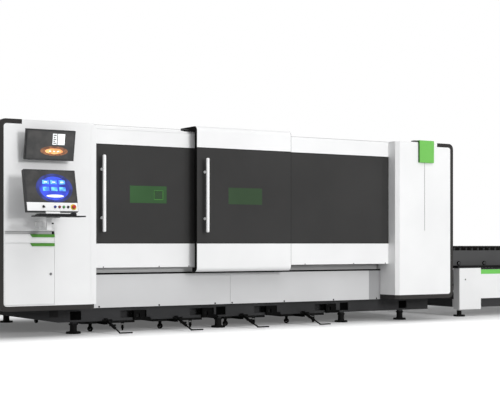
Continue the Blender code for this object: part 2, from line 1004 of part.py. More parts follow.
def window_pane(name, x0, x1, front_y):
    """The tinted pane, flush with the sheet's front."""
    return box(
        name,
        (x0, front_y, window_bottom_z + gap),
        (x1, front_y + window_thickness, window_top_z - gap),
        tinted_acrylic,
    )


def view_window(name, pane, x0, front_y):
    """A small green window let into the tinted pane."""
    x1 = x0 + view_window_width
    low = view_window_z - view_window_height / 2
    high = view_window_z + view_window_height / 2
    cut(
        pane,
        box(
            name + "_hole",
            (x0, front_y - 0.010, low),
            (x1, front_y + window_thickness + 0.010, high),
            green_acrylic,
        ),
    )
    box(
        name,
        (x0 + gap, front_y, low + gap),
        (x1 - gap, front_y + window_thickness, high - gap),
        green_acrylic,
    )


def bar_handle(name, x, pane_front_y):
    """A vertical bar on two standoffs that stand on the door's face."""
    bar_y = pane_front_y - handle_reach
    bar = round_bar(
        name, (x, bar_y, handle_bottom_z), (x, bar_y, handle_top_z), handle_radius, white_paint
    )
    standoffs = [
        round_bar(
            f"{name}_standoff_{i}", (x, bar_y, z), (x, pane_front_y - gap, z), standoff_radius,
            white_paint
        )
        for i, z in enumerate((standoff_low_z, standoff_high_z))
    ]
    return join(bar, *standoffs)


left_door_section = front_section(left_door_y, door_bottom_z, door_top_z)
left_door_section += [
    (left_door_y + door_thickness, door_top_z),
    (left_door_y + door_thickness, door_bottom_z + door_foot_thickness),
    (left_door_y + door_foot_depth, door_bottom_z + door_foot_thickness),
    (left_door_y + door_foot_depth, door_bottom_z),
]
left_door = outline_solid(
    "left_door", left_door_section, "yz", left_door_x0, left_door_x1, white_paint
)
window_opening(left_door, "left_door", left_door_x0, left_door_x1, left_door_y, door_thickness)
left_pane = window_pane("left_door_window", left_door_x0, left_door_x1, left_door_y)
view_window("left_view_window", left_pane, left_door_x0 + left_view_inset, left_door_y)
bar_handle("left_door_handle", left_door_x0 + left_handle_inset, left_door_y)

# The middle door is a shell: it folds back over the roof and under its own foot
shell_radius = 0.050
shell_top_depth = 0.360
shell_foot_depth = 0.100
shell_thickness = 0.030


def shell_section():
    """Side view of the shell door: foot, front with its window recess, rounded top and roof return."""
    front, low, high = middle_door_y, middle_door_bottom_z, middle_door_top_z
    r, inner_r = shell_radius, shell_radius - shell_thickness
    back = front + shell_thickness
    points = [(front + shell_foot_depth, low)]
    points += [(front + r + a, low + r + b) for a, b in arc((0, 0), r, 270, 180)]
    points += front_section(front, low + r, high - r)[1:-1]
    points += [(front + r + a, high - r + b) for a, b in arc((0, 0), r, 180, 90)]
    points += [(front + shell_top_depth, high), (front + shell_top_depth, high - shell_thickness)]
    points += [(back + inner_r + a, high - shell_thickness - inner_r + b)
               for a, b in arc((0, 0), inner_r, 90, 180)]
    points += [(back + inner_r + a, low + shell_thickness + inner_r + b)
               for a, b in arc((0, 0), inner_r, 180, 270)]
    points += [(front + shell_foot_depth, low + shell_thickness)]
    return points


middle_door = outline_solid(
    "middle_door", shell_section(), "yz", middle_door_x0, middle_door_x1, white_paint
)
window_opening(
    middle_door, "middle_door", middle_door_x0, middle_door_x1, middle_door_y, shell_thickness
)
middle_pane = window_pane("middle_door_window", middle_door_x0, middle_door_x1, middle_door_y)
view_window("middle_view_window", middle_pane, middle_door_x0 + middle_view_inset, middle_door_y)
bar_handle("middle_door_handle", middle_door_x0 + middle_handle_inset, middle_door_y)

# Fixed right panel: same recess, a top flange back to the roof, fixed to the right cabinet's side
right_panel_x0 = middle_door_x1 - panel_overlap
right_panel_bottom_z = door_bottom_z + 0.010
roof_front_y = bed_wall_y - 0.220
panel_section = front_section(right_panel_y, right_panel_bottom_z, cabin_top_z)
panel_section += [
    (roof_front_y - gap, cabin_top_z),
    (roof_front_y - gap, cabin_top_z - wall),
    (right_panel_y + door_thickness, cabin_top_z - wall),
    (right_panel_y + door_thickness, right_panel_bottom_z),
]
right_panel = outline_solid(
    "right_panel", panel_section, "yz", right_panel_x0, front_x1 - gap, white_paint
)
window_opening(right_panel, "right_panel", right_panel_x0, front_x1, right_panel_y, door_thickness)
window_pane("right_window", right_panel_x0, front_x1 - gap, right_panel_y)

# Lower door rail on the bed's wall
rail_lower_top_z = door_bottom_z - slide_gap
rail_lower_height = 0.055
box(
    "door_rail_lower",
    (front_x0 + gap, rail_lower_y, rail_lower_top_z - rail_lower_height),
    (front_x1 - gap, bed_wall_y - gap, rail_lower_top_z),
    grey_paint,
)

# Skirts: two folded sheets below the doors, their top flange screwed to the bed's wall
skirt_split_x = (front_x0 + front_x1) / 2 - 0.165
skirt_section = [
    (skirt_y, skirt_bottom_z),
    (skirt_y, skirt_top_z),
    (bed_wall_y - gap, skirt_top_z),
    (bed_wall_y - gap, skirt_top_z - skirt_sheet),
    (skirt_y + skirt_sheet, skirt_top_z - skirt_sheet),
    (skirt_y + skirt_sheet, skirt_bottom_z),
]
outline_solid(
    "left_skirt", skirt_section, "yz", front_x0 + gap, skirt_split_x - seam / 2, white_paint
)
outline_solid(
    "right_skirt", skirt_section, "yz", skirt_split_x + seam / 2, front_x1 - gap, white_paint
)

# Right cabinet: the left one's mirror, with a chamfered inner corner and a groove below the green cap
chamfer = 0.038
groove_x = front_x1 + 0.412
groove_width = 0.006
groove_bottom_z = 1.070
cap_x0 = groove_x - 0.096
cap_x1 = groove_x + 0.121
cap_bottom_z = cabin_top_z - 0.240
cap_top_z = cabin_top_z + 0.022
cap_proud = 0.028
cap_back_y = 0.120
right_trim_top_x = cabin_x1 - 0.250
right_trim = outline_solid(
    "right_cabinet_trim",
    trim_outline(cabin_x1, front_x1 + gap, right_trim_top_x, -1),
    "xz",
    0,
    cabinet_depth,
    dark_trim,
)
right_cabinet = outline_solid(
    "right_cabinet",
    cabinet_outline(cabin_x1, front_x1, right_trim_top_x, -1),
    "xz",
    0,
    cabinet_depth,
    white_paint,
)


def chamfer_cutter(name):
    points = [
        (front_x1 - 0.010, -0.010),
        (front_x1 + chamfer + 0.010, -0.010),
        (front_x1 - 0.010, chamfer + 0.010),
    ]
    return outline_solid(name, points, "xy", deck_z - 0.050, cabin_top_z + 0.050, white_paint)


right_inner_x0 = front_x1 + chamfer + cabinet_wall
cut(right_trim, chamfer_cutter("right_plinth_waste"))
cut(
    right_cabinet,
    chamfer_cutter("right_corner_waste"),
    inside_block(
        "right_space",
        (right_inner_x0, front_sheet, cabinet_white_z + gap + cabinet_wall),
        (
            cabin_x1 - trim_width - gap - cabinet_wall,
            cabinet_depth + 0.010,
            left_inner_top_z,
        ),
    ),
    inside_block(
        "groove_space",
        (groove_x - groove_width / 2, -0.010, groove_bottom_z),
        (groove_x + groove_width / 2, 0.006, cap_bottom_z + 0.020),
    ),
)
cap_section = [
    (-cap_proud, cap_bottom_z),
    (-cap_proud, cap_top_z),
    (cap_back_y, cap_top_z),
    (cap_back_y, cabin_top_z + gap),
    (-gap, cabin_top_z + gap),
    (-gap, cap_bottom_z),
]
outline_solid("green_cap", cap_section, "yz", cap_x0, cap_x1, green_paint)
source_clearance = 0.060
source_top_z = 1.100
box(
    "laser_source",
    (right_inner_x0 + source_clearance, front_sheet + source_clearance,
     cabinet_white_z + gap + cabinet_wall + gap),
    (cabin_x1 - trim_width - cabinet_wall - source_clearance, cabinet_depth - 0.040, source_top_z),
    grey_paint,
)

# Roof, back wall and end walls
roof_bottom_z = cabin_top_z - wall
rail_upper_y = bed_wall_y - 0.100
rail_upper_width = 0.040
roof = box(
    "roof",
    (0, cabinet_depth + gap, roof_bottom_z),
    (cabin_x1, cabin_depth, cabin_top_z),
    white_paint,
)
join(
    roof,
    box(
        "roof_front",
        (front_x0 + gap, roof_front_y, roof_bottom_z),
        (front_x1 - gap, cabinet_depth + wall, cabin_top_z),
        white_paint,
    ),
    box(
        "door_rail_upper",
        (front_x0 + 0.110, rail_upper_y, cabin_top_z - wall * 0.4),
        (front_x1 - 0.020, rail_upper_y + rail_upper_width,
         middle_door_top_z - shell_thickness - slide_gap),
        black_steel,
    ),
)
foot_flange_y = rear_beam_y + 0.020
back_section = [
    (foot_flange_y, deck_z),
    (foot_flange_y, deck_z + wall),
    (cabin_depth - wall, deck_z + wall),
    (cabin_depth - wall, roof_bottom_z - gap),
    (cabin_depth, roof_bottom_z - gap),
    (cabin_depth, deck_z),
]
end_wall_y0 = cabinet_depth + gap
back_wall = outline_solid(
    "back_wall", back_section, "yz", 0, cabin_x1 - wall - gap, white_paint
)
join(
    back_wall,
    box(
        "left_end_wall",
        (0, end_wall_y0, deck_z),
        (wall, cabin_depth - wall / 2, roof_bottom_z - gap),
        white_paint,
    ),
)
pallet_side_clearance = 0.040
port_y0 = inner_y0 - pallet_side_clearance
port_y1 = inner_y1 + pallet_side_clearance
port_bottom_z = deck_z + wall
port_top_z = 0.960
right_end_wall = box(
    "right_end_wall",
    (cabin_x1 - wall, end_wall_y0, deck_z),
    (cabin_x1, cabin_depth, roof_bottom_z - gap),
    white_paint,
)
cut(
    right_end_wall,
    box(
        "pallet_port",
        (cabin_x1 - wall - 0.050, port_y0, port_bottom_z),
        (cabin_x1 + 0.050, port_y1, port_top_z),
        white_paint,
    ),
)

# Gantry on the bed's walls, carriage on the gantry, cutting head on the carriage
gantry_x0 = front_x0 + 0.149
gantry_width = 0.320
gantry_bottom_z = bed_wall_top_z + 0.150
gantry_top_z = bed_wall_top_z + 0.400
gantry_foot = 0.060
carriage_thickness = 0.050
carriage_width = 0.240
carriage_top_z = gantry_top_z + 0.060
carriage_bottom_z = gantry_bottom_z - 0.060
head_thickness = 0.080
head_width = 0.120
head_top_z = gantry_top_z + 0.160
head_bottom_z = gantry_bottom_z + 0.030
nozzle_tip_z = bed_wall_top_z + 0.080
gantry_y0 = bed_wall_y
gantry_y1 = rear_wall_y + bed_wall_thickness
gantry_section = [
    (gantry_y0, bed_wall_top_z + slide_gap),
    (gantry_y0, gantry_top_z),
    (gantry_y1, gantry_top_z),
    (gantry_y1, bed_wall_top_z + slide_gap),
    (gantry_y1 - gantry_foot, bed_wall_top_z + slide_gap),
    (gantry_y1 - gantry_foot, gantry_bottom_z),
    (gantry_y0 + gantry_foot, gantry_bottom_z),
    (gantry_y0 + gantry_foot, bed_wall_top_z + slide_gap),
]
outline_solid(
    "gantry_beam", gantry_section, "yz", gantry_x0, gantry_x0 + gantry_width, machined_steel
)
carriage_x0 = gantry_x0 + gantry_width + slide_gap
box(
    "head_carriage",
    (carriage_x0, bed_middle_y - carriage_width / 2, carriage_bottom_z),
    (carriage_x0 + carriage_thickness, bed_middle_y + carriage_width / 2, carriage_top_z),
    black_steel,
)
head_x0 = carriage_x0 + carriage_thickness + slide_gap
head = box(
    "cutting_head",
    (head_x0, bed_middle_y - head_width / 2, head_bottom_z),
    (head_x0 + head_thickness, bed_middle_y + head_width / 2, head_top_z),
    white_paint,
)
join(
    head,
    round_bar(
        "nozzle",
        (head_x0 + head_thickness / 2, bed_middle_y, head_bottom_z + 0.010),
        (head_x0 + head_thickness / 2, bed_middle_y, nozzle_tip_z),
        head_width * 0.3,
        machined_steel,
        end_radius=0.006,
    ),
)

# Exchange table: a steel frame with columns, two levels of rails and feet, and white front and rear panels
leg_width = 0.358
leg_bottom_z = 0.088
panel_sheet = 0.015
apron_bottom_z = 0.221
apron_top_z = 0.530
stripe_top_z = 0.587
low_beam_bottom_z = 0.110
low_beam_top_z = 0.220
column_y0 = table_y0 + panel_sheet + gap
table_stem_radius = 0.030
rail_start_x = beam_x1 - 0.020 + gap

column_spans = [
    (table_x0, table_x0 + table_column_width),
    ((table_x0 + table_x1 - table_column_width) / 2, (table_x0 + table_x1 + table_column_width) / 2),
    (table_x1 - table_column_width, table_x1),
]
table_frame = box(
    "table_frame",
    (table_x0, column_y0, leg_bottom_z),
    (table_x0 + table_column_width, inner_y0, table_top_z),
    grey_paint,
)
table_parts = []
for side, flip in enumerate((lambda a, b: (a, b), mirrored)):
    column_y = flip(column_y0, inner_y0)
    for i, (x0, x1) in enumerate(column_spans):
        if side or i:
            table_parts.append(
                box(f"column_{side}_{i}", (x0, column_y[0], leg_bottom_z),
                    (x1, column_y[1], table_top_z), grey_paint)
            )
        foot_x = (x0 + x1) / 2
        foot_y = (column_y[0] + column_y[1]) / 2
        table_parts.append(
            round_bar(f"table_stem_{side}_{i}", (foot_x, foot_y, foot_height / 2),
                      (foot_x, foot_y, leg_bottom_z + 0.020), table_stem_radius, grey_paint)
        )
        table_parts.append(
            round_bar(f"table_pad_{side}_{i}", (foot_x, foot_y, 0), (foot_x, foot_y, foot_height),
                      table_pad_radius, grey_paint, sides=24)
        )
    beam_y = flip(column_y0 + 0.020, inner_y0 - 0.010)
    table_parts.append(
        box(f"table_beam_{side}", (table_x0 + 0.010, beam_y[0], low_beam_bottom_z),
            (table_x1 - 0.010, beam_y[1], low_beam_top_z), grey_paint)
    )
    top_y = flip(column_y0 + 0.010, inner_y0 + ledge_width)
    table_parts.append(
        box(f"table_top_rail_{side}", (table_x0 - 0.004, top_y[0], upper_rail_z - upper_rail_height),
            (table_x1, top_y[1], upper_rail_z - gap), grey_paint)
    )
    rail_y = flip(inner_y0 + 0.005, inner_y0 + ledge_width)
    table_parts.append(
        box(f"link_rail_{side}", (rail_start_x, rail_y[0], upper_rail_z - upper_rail_height + 0.002),
            (table_x0 + 0.050, rail_y[1], upper_rail_z - gap), grey_paint)
    )
    low_y = flip(inner_y0 - 0.010, inner_y0 + ledge_width)
    table_parts.append(
        box(f"table_low_rail_{side}", (table_x0 + 0.002, low_y[0], lower_rail_z - lower_rail_height),
            (table_x1 - 0.002, low_y[1], lower_rail_z - gap), grey_paint)
    )
    table_parts.append(
        box(f"low_link_rail_{side}", (rail_start_x, rail_y[0], lower_rail_z - lower_rail_height + 0.002),
            (table_x0 + 0.050, rail_y[1], lower_rail_z - gap), grey_paint)
    )
for i, (x0, x1) in enumerate(column_spans):
    table_parts.append(
        box(f"table_cross_{i}", (x0 + 0.015, inner_y0 - 0.020, low_beam_bottom_z + 0.005),
            (x1 - 0.015, inner_y1 + 0.020, low_beam_top_z - 0.005), grey_paint)
    )
join(table_frame, *table_parts)

panel_points = [
    (table_x0, leg_bottom_z),
    (table_x0 + leg_width, leg_bottom_z),
    (table_x0 + leg_width, apron_bottom_z),
    (table_x1 - leg_width, apron_bottom_z),
    (table_x1 - leg_width, leg_bottom_z),
    (table_x1, leg_bottom_z),
    (table_x1, table_top_z),
    (table_x1 - leg_width, table_top_z),
    (table_x1 - leg_width, apron_top_z),
    (table_x0 + leg_width, apron_top_z),
    (table_x0 + leg_width, table_top_z),
    (table_x0, table_top_z),
]
outline_solid(
    "table_front_panel", panel_points, "xz", table_y0, table_y0 + panel_sheet, white_paint
)
rear_panel_y = mirrored(table_y0, table_y0 + panel_sheet)
outline_solid("table_rear_panel", panel_points, "xz", *rear_panel_y, white_paint)
box(
    "table_stripe",
    (table_x0 + leg_width + gap, table_y0, apron_top_z + gap),
    (table_x1 - leg_width - gap, table_y0 + panel_sheet, stripe_top_z),
    green_paint,
)

# Pallets: side beams, end beams, cross slats and rollers; one on the table, one inside on the lower rails
pallet_side_gap = 0.015
pallet_beam_width = 0.060
pallet_beam_height = 0.191
pallet_height = 0.245
slat_thickness = 0.006
slat_depth = 0.130
slat_pitch = 0.100
slat_seat = 0.030
roller_radius = 0.025
roller_width = 0.0135
roller_lift = 0.0006
roller_pitch = 0.430
first_roller = 0.390


def pallet(name, x0, bottom_z):
    """A pallet frame with its slats let into the side beams."""
    y0 = inner_y0 + pallet_side_gap
    y1 = inner_y1 - pallet_side_gap
    x1 = x0 + pallet_length
    beam_top = bottom_z + pallet_beam_height
    top = bottom_z + pallet_height
    frame = box(name, (x0, y0, bottom_z), (x1, y0 + pallet_beam_width, beam_top), pallet_steel)
    parts = [
        box(name + "_rear_beam", (x0, y1 - pallet_beam_width, bottom_z), (x1, y1, beam_top), pallet_steel),
        box(
            name + "_left_end",
            (x0 + 0.002, y0 + 0.010, bottom_z + 0.002),
            (x0 + pallet_beam_width, y1 - 0.010, beam_top - 0.002),
            pallet_steel,
        ),
        box(
            name + "_right_end",
            (x1 - pallet_beam_width, y0 + 0.010, bottom_z + 0.002),
            (x1 - 0.002, y1 - 0.010, beam_top - 0.002),
            pallet_steel,
        ),
    ]
    slat_count = int((pallet_length - 2 * pallet_beam_width - slat_thickness) / slat_pitch)
    slat_span = slat_pitch * slat_count
    first_slat = (x0 + x1 - slat_span) / 2
    for i in range(slat_count + 1):
        x = first_slat + slat_pitch * i
        parts.append(
            box(
                f"{name}_slat_{i}",
                (x - slat_thickness / 2, y0 + slat_seat, top - slat_depth),
                (x + slat_thickness / 2, y1 - slat_seat, top),
                pallet_steel,
            )
        )
    roller_z = bottom_z + roller_radius + roller_lift
    roller_count = int((pallet_length - first_roller) / roller_pitch) + 1
    for i in range(roller_count):
        x = x0 + first_roller + roller_pitch * i
        for side, (a, b) in enumerate(((y0 - roller_width, y0 + 0.010), (y1 - 0.010, y1 + roller_width))):
            parts.append(
                round_bar(f"{name}_roller_{side}_{i}", (x, a, roller_z), (x, b, roller_z),
                          roller_radius, pallet_steel, sides=12)
            )
    return join(frame, *parts)


pallet("upper_pallet", pallet_x0, upper_rail_z)
pallet("lower_pallet", pallet_inside_x0, lower_rail_z)

# Scrap carts: shallow pans on casters below the bed, each with a hinged L-shaped pull rod
cart_width = 0.600
cart_y0 = bed_wall_y
cart_y1 = cabin_depth - 0.450
pan_bottom_z = 0.084
pan_top_z = 0.116
pan_wall = 0.005
caster_offset_x = 0.185
caster_inset_y = 0.060
caster_radius = 0.030
caster_width = 0.022
rod_offset_x = -0.115
rod_pivot_y = bed_y - 0.030
rod_pivot_z = 0.137
rod_reach = 0.344
rod_foot_z = 0.020
rod_radius = 0.007
grip_length = 0.140
eye_radius = 0.014
eye_half_width = 0.009
rod_pin_radius = 0.005
clevis_sheet = 0.006
clevis_arm_top_z = 0.110


def cart(index, x):
    """One pan with its four casters and the clevis for its rod."""
    name = f"scrap_cart_{index}"
    pan = box(
        name,
        (x - cart_width / 2, cart_y0, pan_bottom_z),
        (x + cart_width / 2, cart_y1, pan_top_z),
        black_steel,
    )
    parts = []
    for i, dx in enumerate((-caster_offset_x, caster_offset_x)):
        for j, y in enumerate((cart_y0 + caster_inset_y, cart_y1 - caster_inset_y)):
            parts.append(
                box(
                    f"{name}_fork_{i}_{j}",
                    (x + dx - caster_width * 0.9, y - 0.016, caster_radius),
                    (x + dx + caster_width * 0.9, y + 0.016, pan_bottom_z + 0.002),
                    black_steel,
                )
            )
            parts.append(
                round_bar(
                    f"{name}_wheel_{i}_{j}",
                    (x + dx - caster_width / 2, y, caster_radius),
                    (x + dx + caster_width / 2, y, caster_radius),
                    caster_radius,
                    black_steel,
                )
            )
    rod_x = x + rod_offset_x
    for side in (-1, 1):
        inner = rod_x + side * (eye_half_width + gap)
        outer = inner + side * clevis_sheet
        label = "left" if side < 0 else "right"
        parts.append(
            box(
                f"{name}_clevis_{label}",
                (min(inner, outer), rod_pivot_y - eye_radius, pan_bottom_z),
                (max(inner, outer), cart_y0 + pan_wall / 2, clevis_arm_top_z),
                black_steel,
            )
        )
        parts.append(
            box(
                f"{name}_clevis_upright_{label}",
                (min(inner, outer), rod_pivot_y - eye_radius, pan_bottom_z + clevis_sheet / 2),
                (max(inner, outer), rod_pivot_y + eye_radius, rod_pivot_z + eye_radius),
                black_steel,
            )
        )
    parts.append(
        round_bar(
            name + "_pin",
            (rod_x - eye_half_width - 0.004, rod_pivot_y, rod_pivot_z),
            (rod_x + eye_half_width + 0.004, rod_pivot_y, rod_pivot_z),
            rod_pin_radius,
            black_steel,
        )
    )
    join(pan, *parts)
    cut(
        pan,
        box(
            name + "_hollow",
            (x - cart_width / 2 + pan_wall, cart_y0 + pan_wall, pan_bottom_z + pan_wall),
            (x + cart_width / 2 - pan_wall, cart_y1 - pan_wall, pan_top_z + 0.010),
            black_steel,
        ),
    )
    pivot = bpy.data.objects.new(f"rod_pivot_{index}", None)
    pivot.location = (rod_x, rod_pivot_y, rod_pivot_z)
    pivot.parent = origin
    model.objects.link(pivot)
    foot = (0, -rod_reach, rod_foot_z - rod_pivot_z)
    rod = round_bar(f"pull_rod_{index}", (0, 0, 0), foot, rod_radius, black_steel, pivot, sides=12)
    join(
        rod,
        round_bar(
            f"rod_eye_{index}", (-eye_half_width, 0, 0), (eye_half_width, 0, 0), eye_radius,
            black_steel, pivot
        ),
        round_bar(
            f"rod_grip_{index}",
            (-rod_radius, foot[1], foot[2]),
            (grip_length, foot[1], foot[2]),
            rod_radius,
            black_steel,
            pivot,
            sides=12,
        ),
    )
    cut(
        rod,
        round_bar(
            f"rod_hole_{index}",
            (-0.030, 0, 0),
            (0.030, 0, 0),
            rod_pin_radius + pin_clearance,
            black_steel,
            pivot,
        ),
    )


for index, x in enumerate(cart_centres, start=1):
    cart(index, x)
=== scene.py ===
import math

import bmesh
import bpy
from mathutils import Matrix, Vector


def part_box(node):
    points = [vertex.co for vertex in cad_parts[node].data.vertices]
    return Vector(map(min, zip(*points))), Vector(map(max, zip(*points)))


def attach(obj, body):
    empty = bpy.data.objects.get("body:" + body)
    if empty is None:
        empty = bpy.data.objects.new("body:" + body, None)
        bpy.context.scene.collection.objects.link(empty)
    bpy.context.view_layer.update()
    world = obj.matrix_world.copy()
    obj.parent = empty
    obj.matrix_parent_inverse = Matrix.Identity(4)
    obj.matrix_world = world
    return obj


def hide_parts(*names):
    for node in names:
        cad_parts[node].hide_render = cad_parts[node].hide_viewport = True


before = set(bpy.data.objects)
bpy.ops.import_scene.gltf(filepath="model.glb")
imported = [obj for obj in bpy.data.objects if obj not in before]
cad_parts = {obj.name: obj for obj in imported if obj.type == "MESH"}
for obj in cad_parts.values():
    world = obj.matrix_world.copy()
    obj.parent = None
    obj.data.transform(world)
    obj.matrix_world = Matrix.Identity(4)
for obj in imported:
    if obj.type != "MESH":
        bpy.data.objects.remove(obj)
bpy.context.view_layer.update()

# The photograph is taken from the left, at chest height, with a long lens held level.
# The horizon lies a little below the middle of the picture, so the lens is shifted up.
picture_width = 500
focal_pixels = 1171.0
horizon_below_middle = 35.3
camera_place = (-8.483, -11.740, 0.920)
camera_turn = 31.51
camera_data = bpy.data.cameras.new("studio_camera")
camera_data.sensor_width = 36.0
camera_data.lens = focal_pixels / picture_width * camera_data.sensor_width
camera_data.shift_y = horizon_below_middle / picture_width
camera_data.clip_end = 200.0
camera = bpy.data.objects.new("studio_camera", camera_data)
camera.location = camera_place
camera.rotation_euler = (math.radians(90), 0, math.radians(-camera_turn))
bpy.context.scene.collection.objects.link(camera)
bpy.context.scene.camera = camera
bpy.context.scene.view_settings.view_transform = "Standard"


def node_input(tree, kind, place, **values):
    """A shader node with some of its sockets and settings filled in."""
    made = tree.nodes.new(kind)
    made.location = place
    for name, value in values.items():
        socket = made.inputs.get(name.replace("_", " "))
        if socket is None:
            setattr(made, name, value)
        else:
            socket.default_value = value
    return made


# The studio: an even pale sky, a white backdrop seen only by the camera and by reflections,
# a low key light almost straight in front, and a wide soft light overhead that whitens the floor.
sky_colour = (0.97, 0.985, 1.0, 1)
sky_strength = 0.40
backdrop_strength = 1.0
key_power = 2560
key_size = 4.5
key_distance = 24.0
key_turn = math.radians(2)
key_height = math.radians(13)
key_aim = Vector((0.0, -0.6, 1.0))
top_power = 380
top_size = 7.0
top_place = (-1.5, -8.0, 9.0)
top_aim = (-0.5, -1.0, 0.8)


def shown_to_mirrors_and_camera(tree, place):
    """A factor that is one for camera, glossy and transmission rays, and nought for light rays."""
    x, y = place
    path = node_input(tree, "ShaderNodeLightPath", place)
    mirror_rays = node_input(tree, "ShaderNodeMath", (x + 200, y), operation="MAXIMUM")
    shown_rays = node_input(tree, "ShaderNodeMath", (x + 350, y), operation="MAXIMUM")
    tree.links.new(path.outputs["Is Glossy Ray"], mirror_rays.inputs[0])
    tree.links.new(path.outputs["Is Transmission Ray"], mirror_rays.inputs[1])
    tree.links.new(path.outputs["Is Camera Ray"], shown_rays.inputs[0])
    tree.links.new(mirror_rays.outputs[0], shown_rays.inputs[1])
    return shown_rays.outputs[0]


world = bpy.data.worlds.new("studio_sky")
bpy.context.scene.world = world
world.use_nodes = True
sky = world.node_tree
sky.nodes.clear()
sky_light = node_input(sky, "ShaderNodeBackground", (-200, 100), Color=sky_colour,
                       Strength=sky_strength)
backdrop = node_input(sky, "ShaderNodeBackground", (-200, -60), Color=(1, 1, 1, 1),
                      Strength=backdrop_strength)
both = node_input(sky, "ShaderNodeMixShader", (0, 40))
out = node_input(sky, "ShaderNodeOutputWorld", (200, 40))
sky.links.new(shown_to_mirrors_and_camera(sky, (-700, 300)), both.inputs[0])
sky.links.new(sky_light.outputs[0], both.inputs[1])
sky.links.new(backdrop.outputs[0], both.inputs[2])
sky.links.new(both.outputs[0], out.inputs[0])


def studio_light(name, place, aim, power, size):
    """A square soft box that points at a place on the machine."""
    lamp = bpy.data.lights.new(name, "AREA")
    lamp.energy = power
    lamp.size = size
    made = bpy.data.objects.new(name, lamp)
    made.location = place
    made.rotation_euler = (Vector(aim) - Vector(place)).to_track_quat("-Z", "Y").to_euler()
    made.visible_glossy = False
    bpy.context.scene.collection.objects.link(made)


key_line = Vector((
    math.sin(key_turn) * math.cos(key_height),
    -math.cos(key_turn) * math.cos(key_height),
    math.sin(key_height),
))
studio_light("key_light", key_aim + key_line * key_distance, key_aim, key_power, key_size)
studio_light("top_light", top_place, top_aim, top_power, top_size)

# The floor is a wide pale sheet. The camera and mirrors see it lifted to white away from the
# machine, and the machine's soft shadow stays on it. Near the machine the lift fades to a small
# one, which paints the floor there darker: painted shade around the real shadow.
floor_half = 60.0
floor_drop = 0.0005
floor_colour = (0.74, 0.74, 0.74, 1)
floor_lift = 0.54
shaded_lift = 0.115
machine_half = (4.70, 1.10)
machine_middle = (0.0, 0.40)
lift_from = -0.05
lift_to = 0.85
floor_mesh = bpy.data.meshes.new("studio_floor")
shape = bmesh.new()
bmesh.ops.create_grid(shape, x_segments=1, y_segments=1, size=floor_half)
shape.to_mesh(floor_mesh)
shape.free()
floor = bpy.data.objects.new("studio_floor", floor_mesh)
floor.location = (0, 0, -floor_drop)
bpy.context.scene.collection.objects.link(floor)
floor_finish = bpy.data.materials.new("studio_floor")
floor_finish.use_nodes = True
tree = floor_finish.node_tree
tree.nodes.clear()
matt = node_input(tree, "ShaderNodeBsdfDiffuse", (-300, 100), Color=floor_colour)
lift = node_input(tree, "ShaderNodeEmission", (-300, -60), Color=(1, 1, 1, 1))
lift_power = node_input(tree, "ShaderNodeMath", (-450, -100), operation="MULTIPLY")
total = node_input(tree, "ShaderNodeAddShader", (-100, 40))
out = node_input(tree, "ShaderNodeOutputMaterial", (100, 40))
place = node_input(tree, "ShaderNodeTexCoord", (-1900, -300))
middle = node_input(tree, "ShaderNodeVectorMath", (-1700, -300), operation="SUBTRACT")
middle.inputs[1].default_value = (*machine_middle, 0)
folded = node_input(tree, "ShaderNodeVectorMath", (-1550, -300), operation="ABSOLUTE")
outside = node_input(tree, "ShaderNodeVectorMath", (-1400, -300), operation="SUBTRACT")
outside.inputs[1].default_value = (*machine_half, 0)
clipped = node_input(tree, "ShaderNodeVectorMath", (-1250, -300), operation="MAXIMUM")
clipped.inputs[1].default_value = (0, 0, 0)
apart = node_input(tree, "ShaderNodeVectorMath", (-1100, -300), operation="LENGTH")
# A smaller lift near the machine's footprint: painted shade on the floor.
faded = node_input(tree, "ShaderNodeMapRange", (-900, -300), interpolation_type="SMOOTHSTEP",
                   From_Min=lift_from, From_Max=lift_to, To_Min=shaded_lift, To_Max=floor_lift)
tree.links.new(place.outputs["Object"], middle.inputs[0])
tree.links.new(middle.outputs[0], folded.inputs[0])
tree.links.new(folded.outputs[0], outside.inputs[0])
tree.links.new(outside.outputs[0], clipped.inputs[0])
tree.links.new(clipped.outputs[0], apart.inputs[0])
tree.links.new(apart.outputs["Value"], faded.inputs["Value"])
tree.links.new(faded.outputs["Result"], lift_power.inputs[1])
tree.links.new(shown_to_mirrors_and_camera(tree, (-900, -100)), lift_power.inputs[0])
tree.links.new(lift_power.outputs[0], lift.inputs["Strength"])
tree.links.new(matt.outputs[0], total.inputs[0])
tree.links.new(lift.outputs[0], total.inputs[1])
tree.links.new(total.outputs[0], out.inputs[0])
floor_mesh.materials.append(floor_finish)

# The cabin is folded sheet steel, powder coated in a satin white. The coat has a fine orange peel,
# a slight drift in tone from sheet to sheet, and a little grime where hands and feet reach it.
white_coat_colour = (0.82, 0.82, 0.82)
white_coat_roughness = 0.42
white_coat_soil = 0.10
peel_scale = 420.0
peel_height = 0.00025
drift_scale = 1.3
smear_scale = 6.0
soil_colour = (0.30, 0.29, 0.27, 1)
soil_foot_z = 0.10
soil_top_z = 0.75


